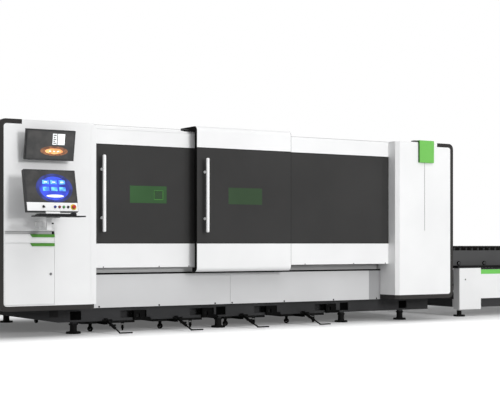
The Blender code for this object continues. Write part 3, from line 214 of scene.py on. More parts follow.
def coat(name, colour, roughness, tone=0.03, peel=peel_height, scale=peel_scale, metallic=0.0,
         specular=0.4, soil=0.0):
    """A painted or moulded finish: tone drift, uneven gloss and a fine bump."""
    made = bpy.data.materials.new(name)
    made.use_nodes = True
    tree = made.node_tree
    shader = tree.nodes["Principled BSDF"]
    shader.inputs["Metallic"].default_value = metallic
    shader.inputs["Specular IOR Level"].default_value = specular
    place = node_input(tree, "ShaderNodeTexCoord", (-1300, 0))
    drift = node_input(tree, "ShaderNodeTexNoise", (-1000, 250), Scale=drift_scale, Detail=3.0,
                       Roughness=0.5)
    speck = node_input(tree, "ShaderNodeTexNoise", (-1000, -50), Scale=scale, Detail=2.0)
    smear = node_input(tree, "ShaderNodeTexNoise", (-1000, -330), Scale=smear_scale, Detail=5.0,
                       Roughness=0.6)
    for texture in (drift, speck, smear):
        tree.links.new(place.outputs["Object"], texture.inputs["Vector"])
    shades = node_input(tree, "ShaderNodeValToRGB", (-750, 250))
    darker = [max(0.0, c * (1 - tone)) for c in colour]
    lighter = [min(1.0, c * (1 + tone)) for c in colour]
    shades.color_ramp.elements[0].position = 0.35
    shades.color_ramp.elements[0].color = (*darker, 1)
    shades.color_ramp.elements[1].position = 0.65
    shades.color_ramp.elements[1].color = (*lighter, 1)
    tree.links.new(drift.outputs["Fac"], shades.inputs["Fac"])
    colour_out = shades.outputs["Color"]
    if soil:
        height = node_input(tree, "ShaderNodeSeparateXYZ", (-1000, 520))
        tree.links.new(place.outputs["Object"], height.inputs[0])
        near_floor = node_input(tree, "ShaderNodeMapRange", (-750, 520), From_Min=soil_foot_z,
                                From_Max=soil_top_z, To_Min=soil, To_Max=0.0)
        tree.links.new(height.outputs["Z"], near_floor.inputs["Value"])
        patchy = node_input(tree, "ShaderNodeMath", (-550, 520), operation="MULTIPLY")
        tree.links.new(near_floor.outputs["Result"], patchy.inputs[0])
        tree.links.new(smear.outputs["Fac"], patchy.inputs[1])
        soiled = node_input(tree, "ShaderNodeMix", (-350, 350), data_type="RGBA")
        tree.links.new(patchy.outputs[0], soiled.inputs["Factor"])
        tree.links.new(colour_out, soiled.inputs["A"])
        soiled.inputs["B"].default_value = soil_colour
        colour_out = soiled.outputs["Result"]
    tree.links.new(colour_out, shader.inputs["Base Color"])
    gloss = node_input(tree, "ShaderNodeMapRange", (-550, -330), To_Min=roughness - 0.06,
                       To_Max=roughness + 0.08)
    tree.links.new(smear.outputs["Fac"], gloss.inputs["Value"])
    tree.links.new(gloss.outputs["Result"], shader.inputs["Roughness"])
    bump = node_input(tree, "ShaderNodeBump", (-350, -120), Strength=0.5, Distance=peel)
    tree.links.new(speck.outputs["Fac"], bump.inputs["Height"])
    tree.links.new(bump.outputs["Normal"], shader.inputs["Normal"])
    return made


def recoat(finish, *nodes):
    """Give CAD nodes a finish in place of their plain one."""
    for name in nodes:
        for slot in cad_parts[name].material_slots:
            slot.material = finish


white_coat = coat("white_coat", white_coat_colour, white_coat_roughness, soil=white_coat_soil)
recoat(white_coat, "left_cabinet", "right_cabinet", "roof", "right_end_wall", "right_panel",
       "left_door", "middle_door", "drawer", "cupboard_door", "table_front_panel",
       "table_rear_panel")

# The left cabinet is one folded white shell. A folded profile squares off its rounded front
# right corner, a sheet backs the finger gap over the drawer, and a small black socket
# cover is pressed into its front. The sheet's grey is painted shade of the recessed gap.
corner_post_x = (-3.7660, -3.7064)
corner_post_y = (-1.0306, -0.9700)
corner_post_z = (0.3180, 2.0900)
corner_post_rounding = 0.006
gap_back_low = Vector((-4.6520, -0.9990, 1.0090))
gap_back_high = Vector((-4.1540, -0.9970, 1.0375))
gap_cover_wide = 0.010
gap_cover_y = (-1.0025, -0.9995)
socket_low = (-4.1900, -1.0330, 1.1060)
socket_high = (-4.1580, -1.0295, 1.1200)
# Painted shade: the grey of the sheet behind the finger gap.
gap_painted_shade_grey = coat("gap_back_painted_shade", (0.62, 0.62, 0.62), 0.5, tone=0.08)
black_plastic_and_painted_shade = coat("black_plastic_and_painted_shade", (0.012, 0.012, 0.013), 0.5, tone=0.1, specular=0.3)


def block(shape, low, high, rounding=0.0, segments=2, place=None):
    """A rectangular bar between two corners, with rounded edges when asked."""
    before = set(shape.verts)
    for vert in bmesh.ops.create_cube(shape, size=1.0)["verts"]:
        vert.co = Vector([low[i] if vert.co[i] < 0 else high[i] for i in range(3)])
    if rounding:
        edges = list({e for v in shape.verts if v not in before for e in v.link_edges})
        bmesh.ops.bevel(shape, geom=edges, offset=rounding, segments=segments, profile=0.5,
                        affect="EDGES", clamp_overlap=True)
    if place is not None:
        for vert in shape.verts:
            if vert not in before:
                vert.co = place @ vert.co


def pulled(shape, outline, axis, low, high):
    """A closed outline pulled along an axis; its points are in the other two axes."""
    rings = []
    for level in (low, high):
        ring = []
        for a, b in outline:
            spot = [a, b]
            spot.insert("xyz".index(axis), level)
            ring.append(shape.verts.new(spot))
        rings.append(ring)
    shape.faces.new(rings[0])
    shape.faces.new(rings[1])
    for i in range(len(outline)):
        j = (i + 1) % len(outline)
        shape.faces.new((rings[0][i], rings[0][j], rings[1][j], rings[1][i]))


def piece(name, shape, finish, body="machine", stands_for=(), crease=35):
    """Turn a finished shape into a piece of the machine that rides on one of its bodies."""
    bmesh.ops.recalc_face_normals(shape, faces=shape.faces)
    mesh = bpy.data.meshes.new(name)
    shape.to_mesh(mesh)
    shape.free()
    mesh.materials.append(finish)
    mesh.shade_smooth()
    mesh.set_sharp_from_angle(angle=math.radians(crease))
    made = bpy.data.objects.new(name, mesh)
    bpy.context.scene.collection.objects.link(made)
    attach(made, body)
    if stands_for:
        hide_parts(*stands_for)


x0, x1 = corner_post_x
y0, y1 = corner_post_y
outline = [(x0, y1), (x0, y0)]
outline += [
    (x1 - corner_post_rounding * (1 - math.sin(a)), y0 + corner_post_rounding * (1 - math.cos(a)))
    for a in (math.radians(degrees) for degrees in range(0, 91, 15))
]
outline += [(x1, y1)]
shape = bmesh.new()
pulled(shape, outline, "z", *corner_post_z)
piece("cabinet_corner_post", shape, white_coat)
# The grey sheet behind the finger gap is painted shade of the recess.
shape = bmesh.new()
block(shape, gap_back_low, gap_back_high, 0.0006, 1)
piece("drawer_gap_painted_shade", shape, gap_painted_shade_grey)
shape = bmesh.new()
block(shape, (gap_back_high.x - gap_cover_wide, gap_cover_y[0], gap_back_low.z),
      (gap_back_high.x, gap_cover_y[1], gap_back_high.z), 0.0008, 1)
block(shape, socket_low, socket_high, 0.0014, 2)
piece("cabinet_black_covers", shape, black_plastic_and_painted_shade)

# The dark trims are extruded profiles that frame both cabinets, coated a fine matt charcoal.
# They are fixed from inside, so that no screw shows on them.
trim_coat = coat("charcoal_trim", (0.028, 0.026, 0.025), 0.55, tone=0.10, scale=900.0,
                 specular=0.22)
recoat(trim_coat, "left_cabinet_trim", "right_cabinet_trim")

# The drawer and the cupboard door open by green folded lips. The cupboard has a round cam lock
# of black plastic with a bright key barrel, pushed in from the front.
lock_place = (-4.1890, -1.0330, 0.6220)
lock_ring = [(0.0, 0.0125), (0.0030, 0.0125), (0.0045, 0.0112), (0.0048, 0.0070)]
lock_barrel = [(0.0040, 0.0060), (0.0060, 0.0060), (0.0066, 0.0054), (0.0067, 0.0012)]
pull_coat = coat("pull_green", (0.078, 0.262, 0.034), 0.42, tone=0.05, specular=0.3)
barrel_steel = coat("barrel_steel", (0.42, 0.42, 0.43), 0.3, metallic=0.9)
recoat(pull_coat, "drawer_pull", "cupboard_pull")


def joined_rings(shape, rings):
    """Walls between rings of points, and a face over each end."""
    loops = [[shape.verts.new(spot) for spot in ring] for ring in rings]
    for first, second in zip(loops, loops[1:]):
        for i in range(len(first)):
            j = (i + 1) % len(first)
            shape.faces.new((first[i], first[j], second[j], second[i]))
    shape.faces.new(loops[0])
    shape.faces.new(loops[-1])


def turned(shape, profile, foot, axis, sides=20):
    """A turned part: pairs of a distance along the axis and a radius."""
    along = Vector(axis).normalized()
    side = along.orthogonal().normalized()
    other = along.cross(side)
    angles = [math.tau * i / sides for i in range(sides)]
    joined_rings(shape, [
        [Vector(foot) + along * distance + (side * math.cos(a) + other * math.sin(a)) * radius
         for a in angles]
        for distance, radius in profile
    ])


shape = bmesh.new()
turned(shape, lock_ring, lock_place, (0, -1, 0), 28)
piece("cupboard_lock_ring", shape, black_plastic_and_painted_shade, "cupboard_door")
shape = bmesh.new()
turned(shape, lock_barrel, lock_place, (0, -1, 0), 24)
piece("cupboard_lock_barrel", shape, barrel_steel, "cupboard_door")

# Both displays are black industrial screens behind glass, held by their frames. What they show
# is a made-up cutting plan and a made-up menu, drawn in plain shapes.
picture_lift = 0.0006
picture_step = 0.0004
monitor_margin = 0.010
plan_u = 0.040
plan_edge = (plan_u, -0.055, 0.140, 0.046, 36)
plan_disc = (plan_u, -0.058, 0.092, 0.027, 28)
cut_out_count = 3
cut_out_step = 0.040
cut_out_disc = (-0.058, 0.011, 0.006, 16)
menu_columns = ((0.070, 0.142), (0.018, 0.062))
menu_v = (0.006, 0.112)
line_u = (0.025, 0.055)
line_foot = 0.016
line_tall = 0.010
line_step = 0.019
line_count = 5
console_margin = 0.012
console_foot_margin = 0.010
page_edge = (0.033, -0.020, 0.184, 0.142, 44)
page_disc = (0.033, -0.022, 0.150, 0.116, 40)
tile_count = 3
tile_step = 0.082
tile_u = (-0.082, -0.018)
tile_rows = ((0.020, 0.058), (-0.048, -0.010))
mark_u = (-0.066, -0.034)
mark_v = (0.034, 0.044)
page_foot_disc = (0.035, -0.098, 0.088, 0.014, 28)
display_black = coat("display_black", (0.013, 0.013, 0.014), 0.42, tone=0.1, scale=700.0,
                     specular=0.3)
display_glass = coat("display_glass", (0.030, 0.030, 0.031), 0.16, tone=0.05, peel=0.00002,
                     specular=0.35)
recoat(display_black, "monitor_housing", "monitor_bracket", "console_housing")
recoat(display_glass, "monitor_screen", "console_screen")


def facing_frame(node):
    """The place, width and height of a node's widest forward face: x right, y up it, z out of it."""
    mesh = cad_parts[node].data
    widest = max((f for f in mesh.polygons if f.normal.y < -0.5), key=lambda f: f.area)
    out = widest.normal.normalized()
    right = Vector((1, 0, 0))
    up = out.cross(right).normalized()
    level = mesh.vertices[widest.vertices[0]].co.dot(out)
    flat = [v.co for v in mesh.vertices if abs(v.co.dot(out) - level) < 0.0005]
    across = [spot.dot(right) for spot in flat]
    along = [spot.dot(up) for spot in flat]
    place = Matrix((right, up, out)).transposed().to_4x4()
    place.translation = (
        right * (min(across) + max(across)) / 2 + up * (min(along) + max(along)) / 2 + out * level
    )
    return place, max(across) - min(across), max(along) - min(along)


def lit(name, inner, outer, glow, spread=4.0):
    """A lit part of a display: its colour drifts softly between two shades."""
    made = bpy.data.materials.new(name)
    made.use_nodes = True
    tree = made.node_tree
    shader = tree.nodes["Principled BSDF"]
    shader.inputs["Roughness"].default_value = 0.25
    shader.inputs["Emission Strength"].default_value = glow
    place = node_input(tree, "ShaderNodeTexCoord", (-900, 0))
    drift = node_input(tree, "ShaderNodeTexNoise", (-700, 0), Scale=spread, Detail=2.0)
    shades = node_input(tree, "ShaderNodeValToRGB", (-450, 0))
    shades.color_ramp.elements[0].position = 0.38
    shades.color_ramp.elements[0].color = (*outer, 1)
    shades.color_ramp.elements[1].position = 0.62
    shades.color_ramp.elements[1].color = (*inner, 1)
    tree.links.new(place.outputs["Object"], drift.inputs["Vector"])
    tree.links.new(drift.outputs["Fac"], shades.inputs["Fac"])
    tree.links.new(shades.outputs["Color"], shader.inputs["Base Color"])
    tree.links.new(shades.outputs["Color"], shader.inputs["Emission Color"])
    return made


def picture(name, place, parts, level, finish, body):
    """Flat shapes on a display: bars given by their corners, discs by a centre, radii and sides."""
    shape = bmesh.new()
    low = picture_lift + picture_step * level
    for part in parts:
        if len(part) == 4:
            block(shape, (part[0], part[1], low), (part[2], part[3], low + picture_step), place=place)
        else:
            u, v, wide, tall, sides = part
            ring = [(u + wide * math.cos(math.tau * k / sides), v + tall * math.sin(math.tau * k / sides))
                    for k in range(sides)]
            joined_rings(shape, [
                [place @ Vector((a, b, height)) for a, b in ring]
                for height in (low, low + picture_step)
            ])
    piece(name, shape, finish, body)


field_dark = lit("field_dark", (0.030, 0.029, 0.028), (0.016, 0.016, 0.016), 0.6, 9.0)
amber_light = lit("amber_light", (0.90, 0.42, 0.16), (0.50, 0.17, 0.05), 0.8, 22.0)
amber_dim = lit("amber_dim", (0.26, 0.105, 0.045), (0.10, 0.040, 0.020), 0.5, 26.0)
paper_light = lit("paper_light", (0.86, 0.88, 0.88), (0.74, 0.77, 0.78), 0.5, 30.0)
deep_blue = lit("deep_blue", (0.030, 0.065, 0.62), (0.012, 0.018, 0.20), 0.7, 7.0)
dusk_blue = lit("dusk_blue", (0.022, 0.034, 0.22), (0.012, 0.016, 0.075), 0.5, 12.0)
sky_blue = lit("sky_blue", (0.14, 0.50, 0.90), (0.04, 0.16, 0.70), 0.7, 20.0)

place, wide, tall = facing_frame("monitor_screen")
half_u, half_v = wide / 2 - monitor_margin, tall / 2 - monitor_margin
cut_outs = [(cut_out_step * k, *cut_out_disc) for k in range(cut_out_count)]
menu = [(left, menu_v[0], right, menu_v[1]) for left, right in menu_columns]
menu_lines = []
for k in range(line_count):
    foot = line_foot + line_step * k
    menu_lines.append((line_u[0], foot, line_u[1] - line_tall * (k % 2), foot + line_tall))
picture("monitor_field", place, [(-half_u, -half_v, half_u, half_v)], 0, field_dark, "monitor")
picture("monitor_plan_edge", place, [plan_edge], 1, amber_dim, "monitor")
picture("monitor_plan", place, [plan_disc], 2, amber_light, "monitor")
picture("monitor_plan_cut_outs", place, cut_outs, 3, paper_light, "monitor")
picture("monitor_menu", place, menu, 1, paper_light, "monitor")
picture("monitor_menu_lines", place, menu_lines, 2, field_dark, "monitor")

place, wide, tall = facing_frame("console_screen")
half_u, half_v = wide / 2 - console_margin, tall / 2 - console_margin
field_foot = -tall / 2 + console_foot_margin
tiles = [(tile_u[0] + tile_step * k, foot, tile_u[1] + tile_step * k, top)
         for foot, top in tile_rows for k in range(tile_count)]
marks = [(mark_u[0] + tile_step * k, mark_v[0], mark_u[1] + tile_step * k, mark_v[1])
         for k in range(tile_count)]
picture("console_field", place, [(-half_u, field_foot, half_u, half_v)], 0, field_dark, "console")
picture("console_page_edge", place, [page_edge], 1, dusk_blue, "console")
picture("console_page", place, [page_disc], 2, deep_blue, "console")
picture("console_tiles", place, tiles, 3, sky_blue, "console")
picture("console_marks", place, [*marks, page_foot_disc], 4, paper_light, "console")

# The console's controls sit in a white strip: turned rings hold the push buttons, and the
# emergency stop stands on a yellow plate. The selector is black with a white pointer line.
ring_profile = [(0.0002, 0.0142), (0.0016, 0.0142), (0.0022, 0.0134), (0.0022, 0.0116),
                (0.0002, 0.0116)]
yellow_plate = [(0.0002, 0.0290), (0.00154, 0.0290), (0.0022, 0.0280)]
pointer_half = 0.0010
pointer_height = (0.0002, 0.0007)
pointer_end_gap = 0.0015
# A lighter copy of the white coat. Besides the control strip it covers the console's arm and bracket, the
# tray's neck cover and the round door handles, where it is painted light that lifts their shade.
strip_white_and_painted_light = coat("strip_white_and_painted_light", (0.90, 0.90, 0.90), 0.35, tone=0.02)
ring_steel = coat("ring_steel", (0.30, 0.30, 0.31), 0.32, metallic=0.8, tone=0.05)
stop_yellow = coat("stop_yellow", (0.80, 0.58, 0.03), 0.45, tone=0.05, specular=0.3)
recoat(strip_white_and_painted_light, "control_panel", "console_arm", "console_bracket")
button_finishes = {
    "button_blue": ((0.016, 0.030, 0.25), 0.30),
    "button_red": ((0.24, 0.020, 0.014), 0.30),
    "button_green": ((0.030, 0.24, 0.030), 0.30),
    "button_black": ((0.010, 0.010, 0.010), 0.35),
    "emergency_stop": ((0.52, 0.020, 0.012), 0.32),
    "selector_switch": ((0.010, 0.010, 0.010), 0.35),
}
for name, (colour, roughness) in button_finishes.items():
    recoat(coat(name + "_plastic", colour, roughness, tone=0.04, specular=0.45), name)

panel_place = facing_frame("control_panel")[0]
panel_out = panel_place.to_3x3() @ Vector((0, 0, 1))


def foot_on_panel(node):
    """The point of the control panel's face that lies under a control's middle."""
    low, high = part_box(node)
    spot = panel_place.inverted() @ ((low + high) / 2)
    return panel_place @ Vector((spot.x, spot.y, 0))


shape = bmesh.new()
for name in ("button_blue", "button_red", "button_green", "button_black"):
    turned(shape, ring_profile, foot_on_panel(name), panel_out, 28)
piece("control_rings", shape, ring_steel, "console")
shape = bmesh.new()
turned(shape, yellow_plate, foot_on_panel("emergency_stop"), panel_out, 36)
piece("emergency_stop_plate", shape, stop_yellow, "console")
head_place, _, head_tall = facing_frame("selector_switch")
shape = bmesh.new()
block(shape, (-pointer_half, 0.0, pointer_height[0]),
      (pointer_half, head_tall / 2 - pointer_end_gap, pointer_height[1]), place=head_place)
piece("selector_pointer", shape, white_coat, "selector_switch")

# The tray is black folded steel. On it lie a keyboard with low square keys and a long space bar,
# and a smooth black mouse. A white cover hides the neck that carries the tray.
tray_coat = coat("tray_coat", (0.014, 0.014, 0.015), 0.55, tone=0.12, scale=800.0, specular=0.25)
key_plastic = coat("key_plastic", (0.020, 0.020, 0.021), 0.6, tone=0.15, specular=0.3)
key_rows = 5
key_columns = 15
space_bar = (4, 10)
key_gap = 0.0022
key_cap_height = 0.0070
key_cap_lift = 0.0002
key_cap_drop = 0.0010
key_margin = (0.008, 0.010)
neck_outline = [(-1.3916, 1.1783), (-1.3802, 1.2190), (-1.3600, 1.2141), (-1.3700, 1.1783)]
neck_x = (-4.3765, -4.2345)
mouse_centre = (-4.1270, -1.4450)
mouse_half = (0.028, 0.050)
mouse_height = 0.032
mouse_lift = 0.0004
mouse_front_share = 0.94
mouse_slope = 0.10
mouse_rings = ((0.92, 0.0), (1.0, 0.16), (0.98, 0.42), (0.86, 0.72), (0.62, 0.92), (0.25, 1.0))
mouse_sides = 32
recoat(tray_coat, "keyboard_tray")
low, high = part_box("keyboard")
keys_low = Vector((low.x + key_margin[0], low.y + key_margin[1], 0))
key_wide = (high.x - low.x - 2 * key_margin[0]) / key_columns
key_deep = (high.y - low.y - 2 * key_margin[1]) / key_rows
shape = bmesh.new()
block(shape, low, (high.x, high.y, high.z - key_cap_height), 0.0035, 3)


def key_cap(shape, row, first, last):
    """A key from one column of the keyboard up to another."""
    x0 = keys_low.x + first * key_wide + key_gap / 2
    x1 = keys_low.x + last * key_wide - key_gap / 2
    y0 = keys_low.y + row * key_deep + key_gap / 2
    block(shape, (x0, y0, high.z - key_cap_height + key_cap_lift),
          (x1, y0 + key_deep - key_gap, high.z - key_cap_drop), 0.0012, 1)


for row in range(key_rows):
    for column in range(key_columns):
        if row or column not in range(*space_bar):
            key_cap(shape, row, column, column + 1)
key_cap(shape, 0, *space_bar)
piece("keyboard_with_keys", shape, key_plastic, "console", ("keyboard",))
shape = bmesh.new()
pulled(shape, neck_outline, "x", *neck_x)
# The neck cover takes the lighter white: painted light against the shade under the tray.
piece("tray_neck_cover", shape, strip_white_and_painted_light, "console")
rings = []
for share, lift in mouse_rings:
    ring = []
    for k in range(mouse_sides):
        across, along = math.cos(math.tau * k / mouse_sides), math.sin(math.tau * k / mouse_sides)
        reach = mouse_half[1] * share * along * (1.0 if along > 0 else mouse_front_share)
        ring.append((mouse_centre[0] + mouse_half[0] * share * across, mouse_centre[1] + reach,
                     low.z + mouse_lift + mouse_height * lift * (1.0 - mouse_slope * along)))
    rings.append(ring)
shape = bmesh.new()
joined_rings(shape, rings)
piece("mouse", shape, key_plastic, "console")

# The doors are folded white sheets with a flush pane of charcoal acrylic. A thin black gasket
# closes each pane's upper and lower edge, and a green filter is let in to look at the cut.
gasket_width = 0.006
gasket_proud = 0.0007
gasket_end_gap = 0.001
face_gap = 0.0001
# The panes and green filters are made lighter and nearly without gloss: the sheen of the reflected
# backdrop is painted into their colour as painted reflection.
pane_acrylic = coat("pane_acrylic", (0.0400, 0.0393, 0.0389), 0.20, tone=0.06, peel=0.00002,
                    scale=50.0, specular=0.10)
filter_left = coat("filter_acrylic_left", (0.042, 0.100, 0.040), 0.20, tone=0.10, peel=0.00002,
                   scale=50.0, specular=0.10)
filter_middle = coat("filter_acrylic_middle", (0.043, 0.075, 0.040), 0.20, tone=0.10, peel=0.00002,
                     scale=50.0, specular=0.10)
gasket_rubber = coat("gasket_rubber", (0.004, 0.004, 0.004), 0.75, tone=0.3, specular=0.06)
recoat(pane_acrylic, "left_door_window", "middle_door_window", "right_window")
recoat(filter_left, "left_view_window")
recoat(filter_middle, "middle_view_window")
for node, body in (("left_door_window", "left_door"), ("middle_door_window", "middle_door"),
                   ("right_window", "machine")):
    low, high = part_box(node)
    shape = bmesh.new()
    for z in (low.z, high.z):
        block(shape, (low.x + gasket_end_gap, low.y - gasket_proud, z - gasket_width / 2),
              (high.x - gasket_end_gap, low.y - face_gap, z + gasket_width / 2), 0.0002, 1)
    piece(node + "_gasket", shape, gasket_rubber, body)

# Behind the left green filter a small lit frame of the work light is to be seen. It is drawn as
# four flat strips round a dark sheet, laid on the face of the acrylic.
frame_x = (-2.9420, -2.8370)
frame_z = (1.3760, 1.4740)
frame_line = 0.0050
top_line_share = 0.6
left_line_share = 0.5
frame_proud = (0.0008, 0.0003)
shade_proud = (0.0004, 0.0001)
frame_green = coat("frame_green", (0.075, 0.30, 0.045), 0.3, tone=0.25, scale=90.0)
frame_shade = coat("frame_shade", (0.018, 0.060, 0.016), 0.2, tone=0.3, scale=90.0)
face_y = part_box("left_view_window")[0].y
x0, x1 = frame_x
z0, z1 = frame_z
frame_sides = (
    (x0, z0, x1, z0 + frame_line),
    (x0, z1 - frame_line * top_line_share, x1, z1),
    (x1 - frame_line, z0, x1, z1),
    (x0, z0, x0 + frame_line * left_line_share, z1),
)
shape = bmesh.new()
for left, foot, right, top in frame_sides:
    block(shape, (left, face_y - frame_proud[0], foot), (right, face_y - frame_proud[1], top))
piece("work_light_frame", shape, frame_green, "left_door")
shape = bmesh.new()
block(shape, (x0 + frame_line, face_y - shade_proud[0], z0 + frame_line),
      (x1 - frame_line, face_y - shade_proud[1], z1 - frame_line))
piece("work_light_shade", shape, frame_shade, "left_door")

# Each door is pulled by a white round bar with domed ends, on two turned standoffs whose
# flanges are bolted through the pane.
standoff_radius = 0.0075
standoff_share = 0.185
dome_share = 0.55
flange = [(0.0, 0.0150), (0.0030, 0.0150), (0.0045, 0.0138), (0.0050, 0.0080)]


def rod(shape, points, radius, sides=12):
    """A round bar that follows a path."""
    points = [Vector(point) for point in points]
    rings = []
    side = None
    for i, point in enumerate(points):
        before = points[i] - points[i - 1] if i else points[1] - points[0]
        after = points[i + 1] - points[i] if i + 1 < len(points) else before
        along = (before.normalized() + after.normalized()).normalized()
        side = along.orthogonal() if side is None else side - along * side.dot(along)
        side.normalize()
        other = along.cross(side)
        rings.append([
            point + (side * math.cos(math.tau * k / sides) + other * math.sin(math.tau * k / sides))
            * radius for k in range(sides)
        ])
    joined_rings(shape, rings)


for node, body in (("left_door_handle", "left_door"), ("middle_door_handle", "middle_door")):
    low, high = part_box(node)
    tall = high.z - low.z
    radius = (high.x - low.x) / 2
    x = (low.x + high.x) / 2
    bar_y = low.y + radius
    profile = [(radius * dome_share * (1 - math.cos(a)), radius * math.sin(a))
               for a in (math.radians(degrees) for degrees in range(10, 91, 16))]
    profile += [(tall - along, reach) for along, reach in reversed(profile)]
    shape = bmesh.new()
    turned(shape, profile, (x, bar_y, low.z), (0, 0, 1), 32)
    for z in (low.z + tall * standoff_share, high.z - tall * standoff_share):
        rod(shape, [(x, bar_y, z), (x, high.y, z)], standoff_radius, 20)
        turned(shape, flange, (x, high.y, z), (0, -1, 0), 24)
    # The bars take the lighter white: painted light against their round shading.
    piece(node + "_bar", shape, strip_white_and_painted_light, body, (node,))

# The middle door is a shell that wraps over the roof. A wide black rubber profile is pushed on to
# its left edge, all the way from the roof return down to the foot, and a narrow one to its right.
seal_thick = 0.0035
seal_wide = 0.046
end_seal_wide = 0.008
seal_gap = 0.0002
seal_proud = 0.0008
shell_radius = 0.050
roof_return = 0.360
foot_return = 0.100
shell_low, shell_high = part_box("middle_door")


def shell_path(depth_in):
    """Points round the shell's side view, a distance in from its outer face."""
    reach = shell_radius - depth_in
    turn = [math.radians(a) for a in range(0, 91, 10)]
    front, foot, top = shell_low.y, shell_low.z, shell_high.z
    points = [(front + foot_return, foot + depth_in)]
    points += [(front + shell_radius - reach * math.sin(a), foot + shell_radius - reach * math.cos(a))
               for a in turn]
    points += [(front + shell_radius - reach * math.cos(a), top - shell_radius + reach * math.sin(a))
               for a in turn]
    points += [(front + roof_return, top - depth_in)]
    return points


def edge_seal(shape, wide, x_pair):
    """A rubber band on the shell's edge, between its outer face and a line further in."""
    outer, inner = shell_path(seal_proud), shell_path(wide)
    count = len(outer)
    sides = [[shape.verts.new((x, y, z)) for y, z in outer + inner[::-1]] for x in x_pair]
    for i in range(count - 1):
        for ring in sides:
            shape.faces.new([ring[k] for k in (i, i + 1, 2 * count - 2 - i, 2 * count - 1 - i)])
    for i in range(2 * count):
        j = (i + 1) % (2 * count)
        shape.faces.new((sides[0][i], sides[0][j], sides[1][j], sides[1][i]))


shape = bmesh.new()
edge_seal(shape, seal_wide, (shell_low.x - seal_thick, shell_low.x - seal_gap))
edge_seal(shape, end_seal_wide, (shell_high.x + seal_gap, shell_high.x + seal_thick))
piece("shell_door_seal", shape, gasket_rubber, "middle_door")

# Below the doors runs a grey guide strip over the two white skirts. A black lip gasket closes
# the joint under the strip, and black button screws hold the skirts and the doors' lower edges.
lip_gasket_z = (0.5990, 0.6085, 0.6152)
lip_gasket_y = (-0.0035, -0.0005, 0.0200)
strip_joint_x = (0.0570, 0.0660)
strip_joint_proud = 0.0030
screw_head = [(0.0, 0.0095), (0.0020, 0.0092), (0.0034, 0.0070), (0.0038, 0.0035)]
small_head_share = 0.62
small_head = [(along, radius * small_head_share) for along, radius in screw_head]
small_head_rise = 0.0068
skirt_screw_x = (-3.5330, -2.8450, -2.1650, -1.9510, -1.2700, -0.5900, 0.0350)
skirt_screw_z = 0.2700
left_door_screw_x = (-3.5200, -2.8840, -2.5300)
right_panel_screw_x = (-1.0945, -0.4200, 0.0400)
strip_grey = coat("guide_strip_grey", (0.44, 0.44, 0.44), 0.5, tone=0.06, specular=0.3)
screw_black = coat("screw_black", (0.004, 0.004, 0.004), 0.5, tone=0.2, specular=0.15)
recoat(strip_grey, "door_rail_lower")
low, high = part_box("door_rail_lower")
skirt_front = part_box("left_skirt")[0].y
front, back, deep = (skirt_front + y for y in lip_gasket_y)
foot, step, top = lip_gasket_z
shape = bmesh.new()
pulled(shape, [(front, foot), (back, foot), (back, step), (deep, step), (deep, top), (front, top)],
       "x", low.x + 0.0005, high.x - 0.0005)
block(shape, (strip_joint_x[0], low.y - strip_joint_proud, low.z + 0.0005),
      (strip_joint_x[1], low.y - 0.0003, high.z - 0.0010))
piece("strip_gasket", shape, gasket_rubber)
shape = bmesh.new()
for x in skirt_screw_x:
    turned(shape, screw_head, (x, skirt_front, skirt_screw_z), (0, -1, 0), 14)
piece("skirt_screws", shape, screw_black)
for body, screw_places, node in (("left_door", left_door_screw_x, "left_door"),
                                 ("machine", right_panel_screw_x, "right_panel")):
    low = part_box(node)[0]
    shape = bmesh.new()
    for x in screw_places:
        turned(shape, small_head, (x, low.y, low.z + small_head_rise), (0, -1, 0), 14)
    piece(node + "_screws", shape, screw_black, body)

# A thin grey strip, shaped as a pressed-on rubber lip, runs along the upper front edge of the
# roof and of the right panel. Its grey is painted shade of the rounded edge, a fine line along the
# machine's top.
lip_tall = 0.0030
lip_proud = 0.0010
lip_end_gap = 0.0010
lip_from_cabinet = 0.050
# Painted shade: the grey line on the upper front edges.
upper_edge_painted_shade_grey = coat("upper_edge_painted_shade_grey", (0.20, 0.20, 0.20), 0.6, tone=0.15, specular=0.2)
shape = bmesh.new()
for node, x_end in (("roof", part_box("left_door")[1].x), ("right_panel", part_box("right_panel")[1].x)):
    low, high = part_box(node)
    x_start = max(low.x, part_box("left_cabinet")[1].x + lip_from_cabinet)
    block(shape, (x_start + lip_end_gap, low.y - lip_proud, high.z - lip_tall),
          (x_end - lip_end_gap, low.y - face_gap, high.z - 0.0002), 0.0003, 1)
piece("upper_edge_painted_shade_lip", shape, upper_edge_painted_shade_grey)

# The right cabinet carries a moulded green cap over its upper edge and a narrow black groove
# below it. A small black tab beside the cap covers the cable inlet.
cap_round = 0.010
cap_corner = 0.002
cap_gap = 0.0003
cap_edge_bevel = 0.0022
cap_side_shade_thick = 0.0030
groove_x = (0.4990, 0.5025)
groove_z = (1.0700, 1.8690)
groove_proud = 0.0010
tab_x = (0.3540, 0.4030)
tab_y = (0.0080, 0.0700)
tab_tall = 0.0200
cap_green = coat("cap_green", (0.160, 0.485, 0.095), 0.38, tone=0.04, specular=0.35)
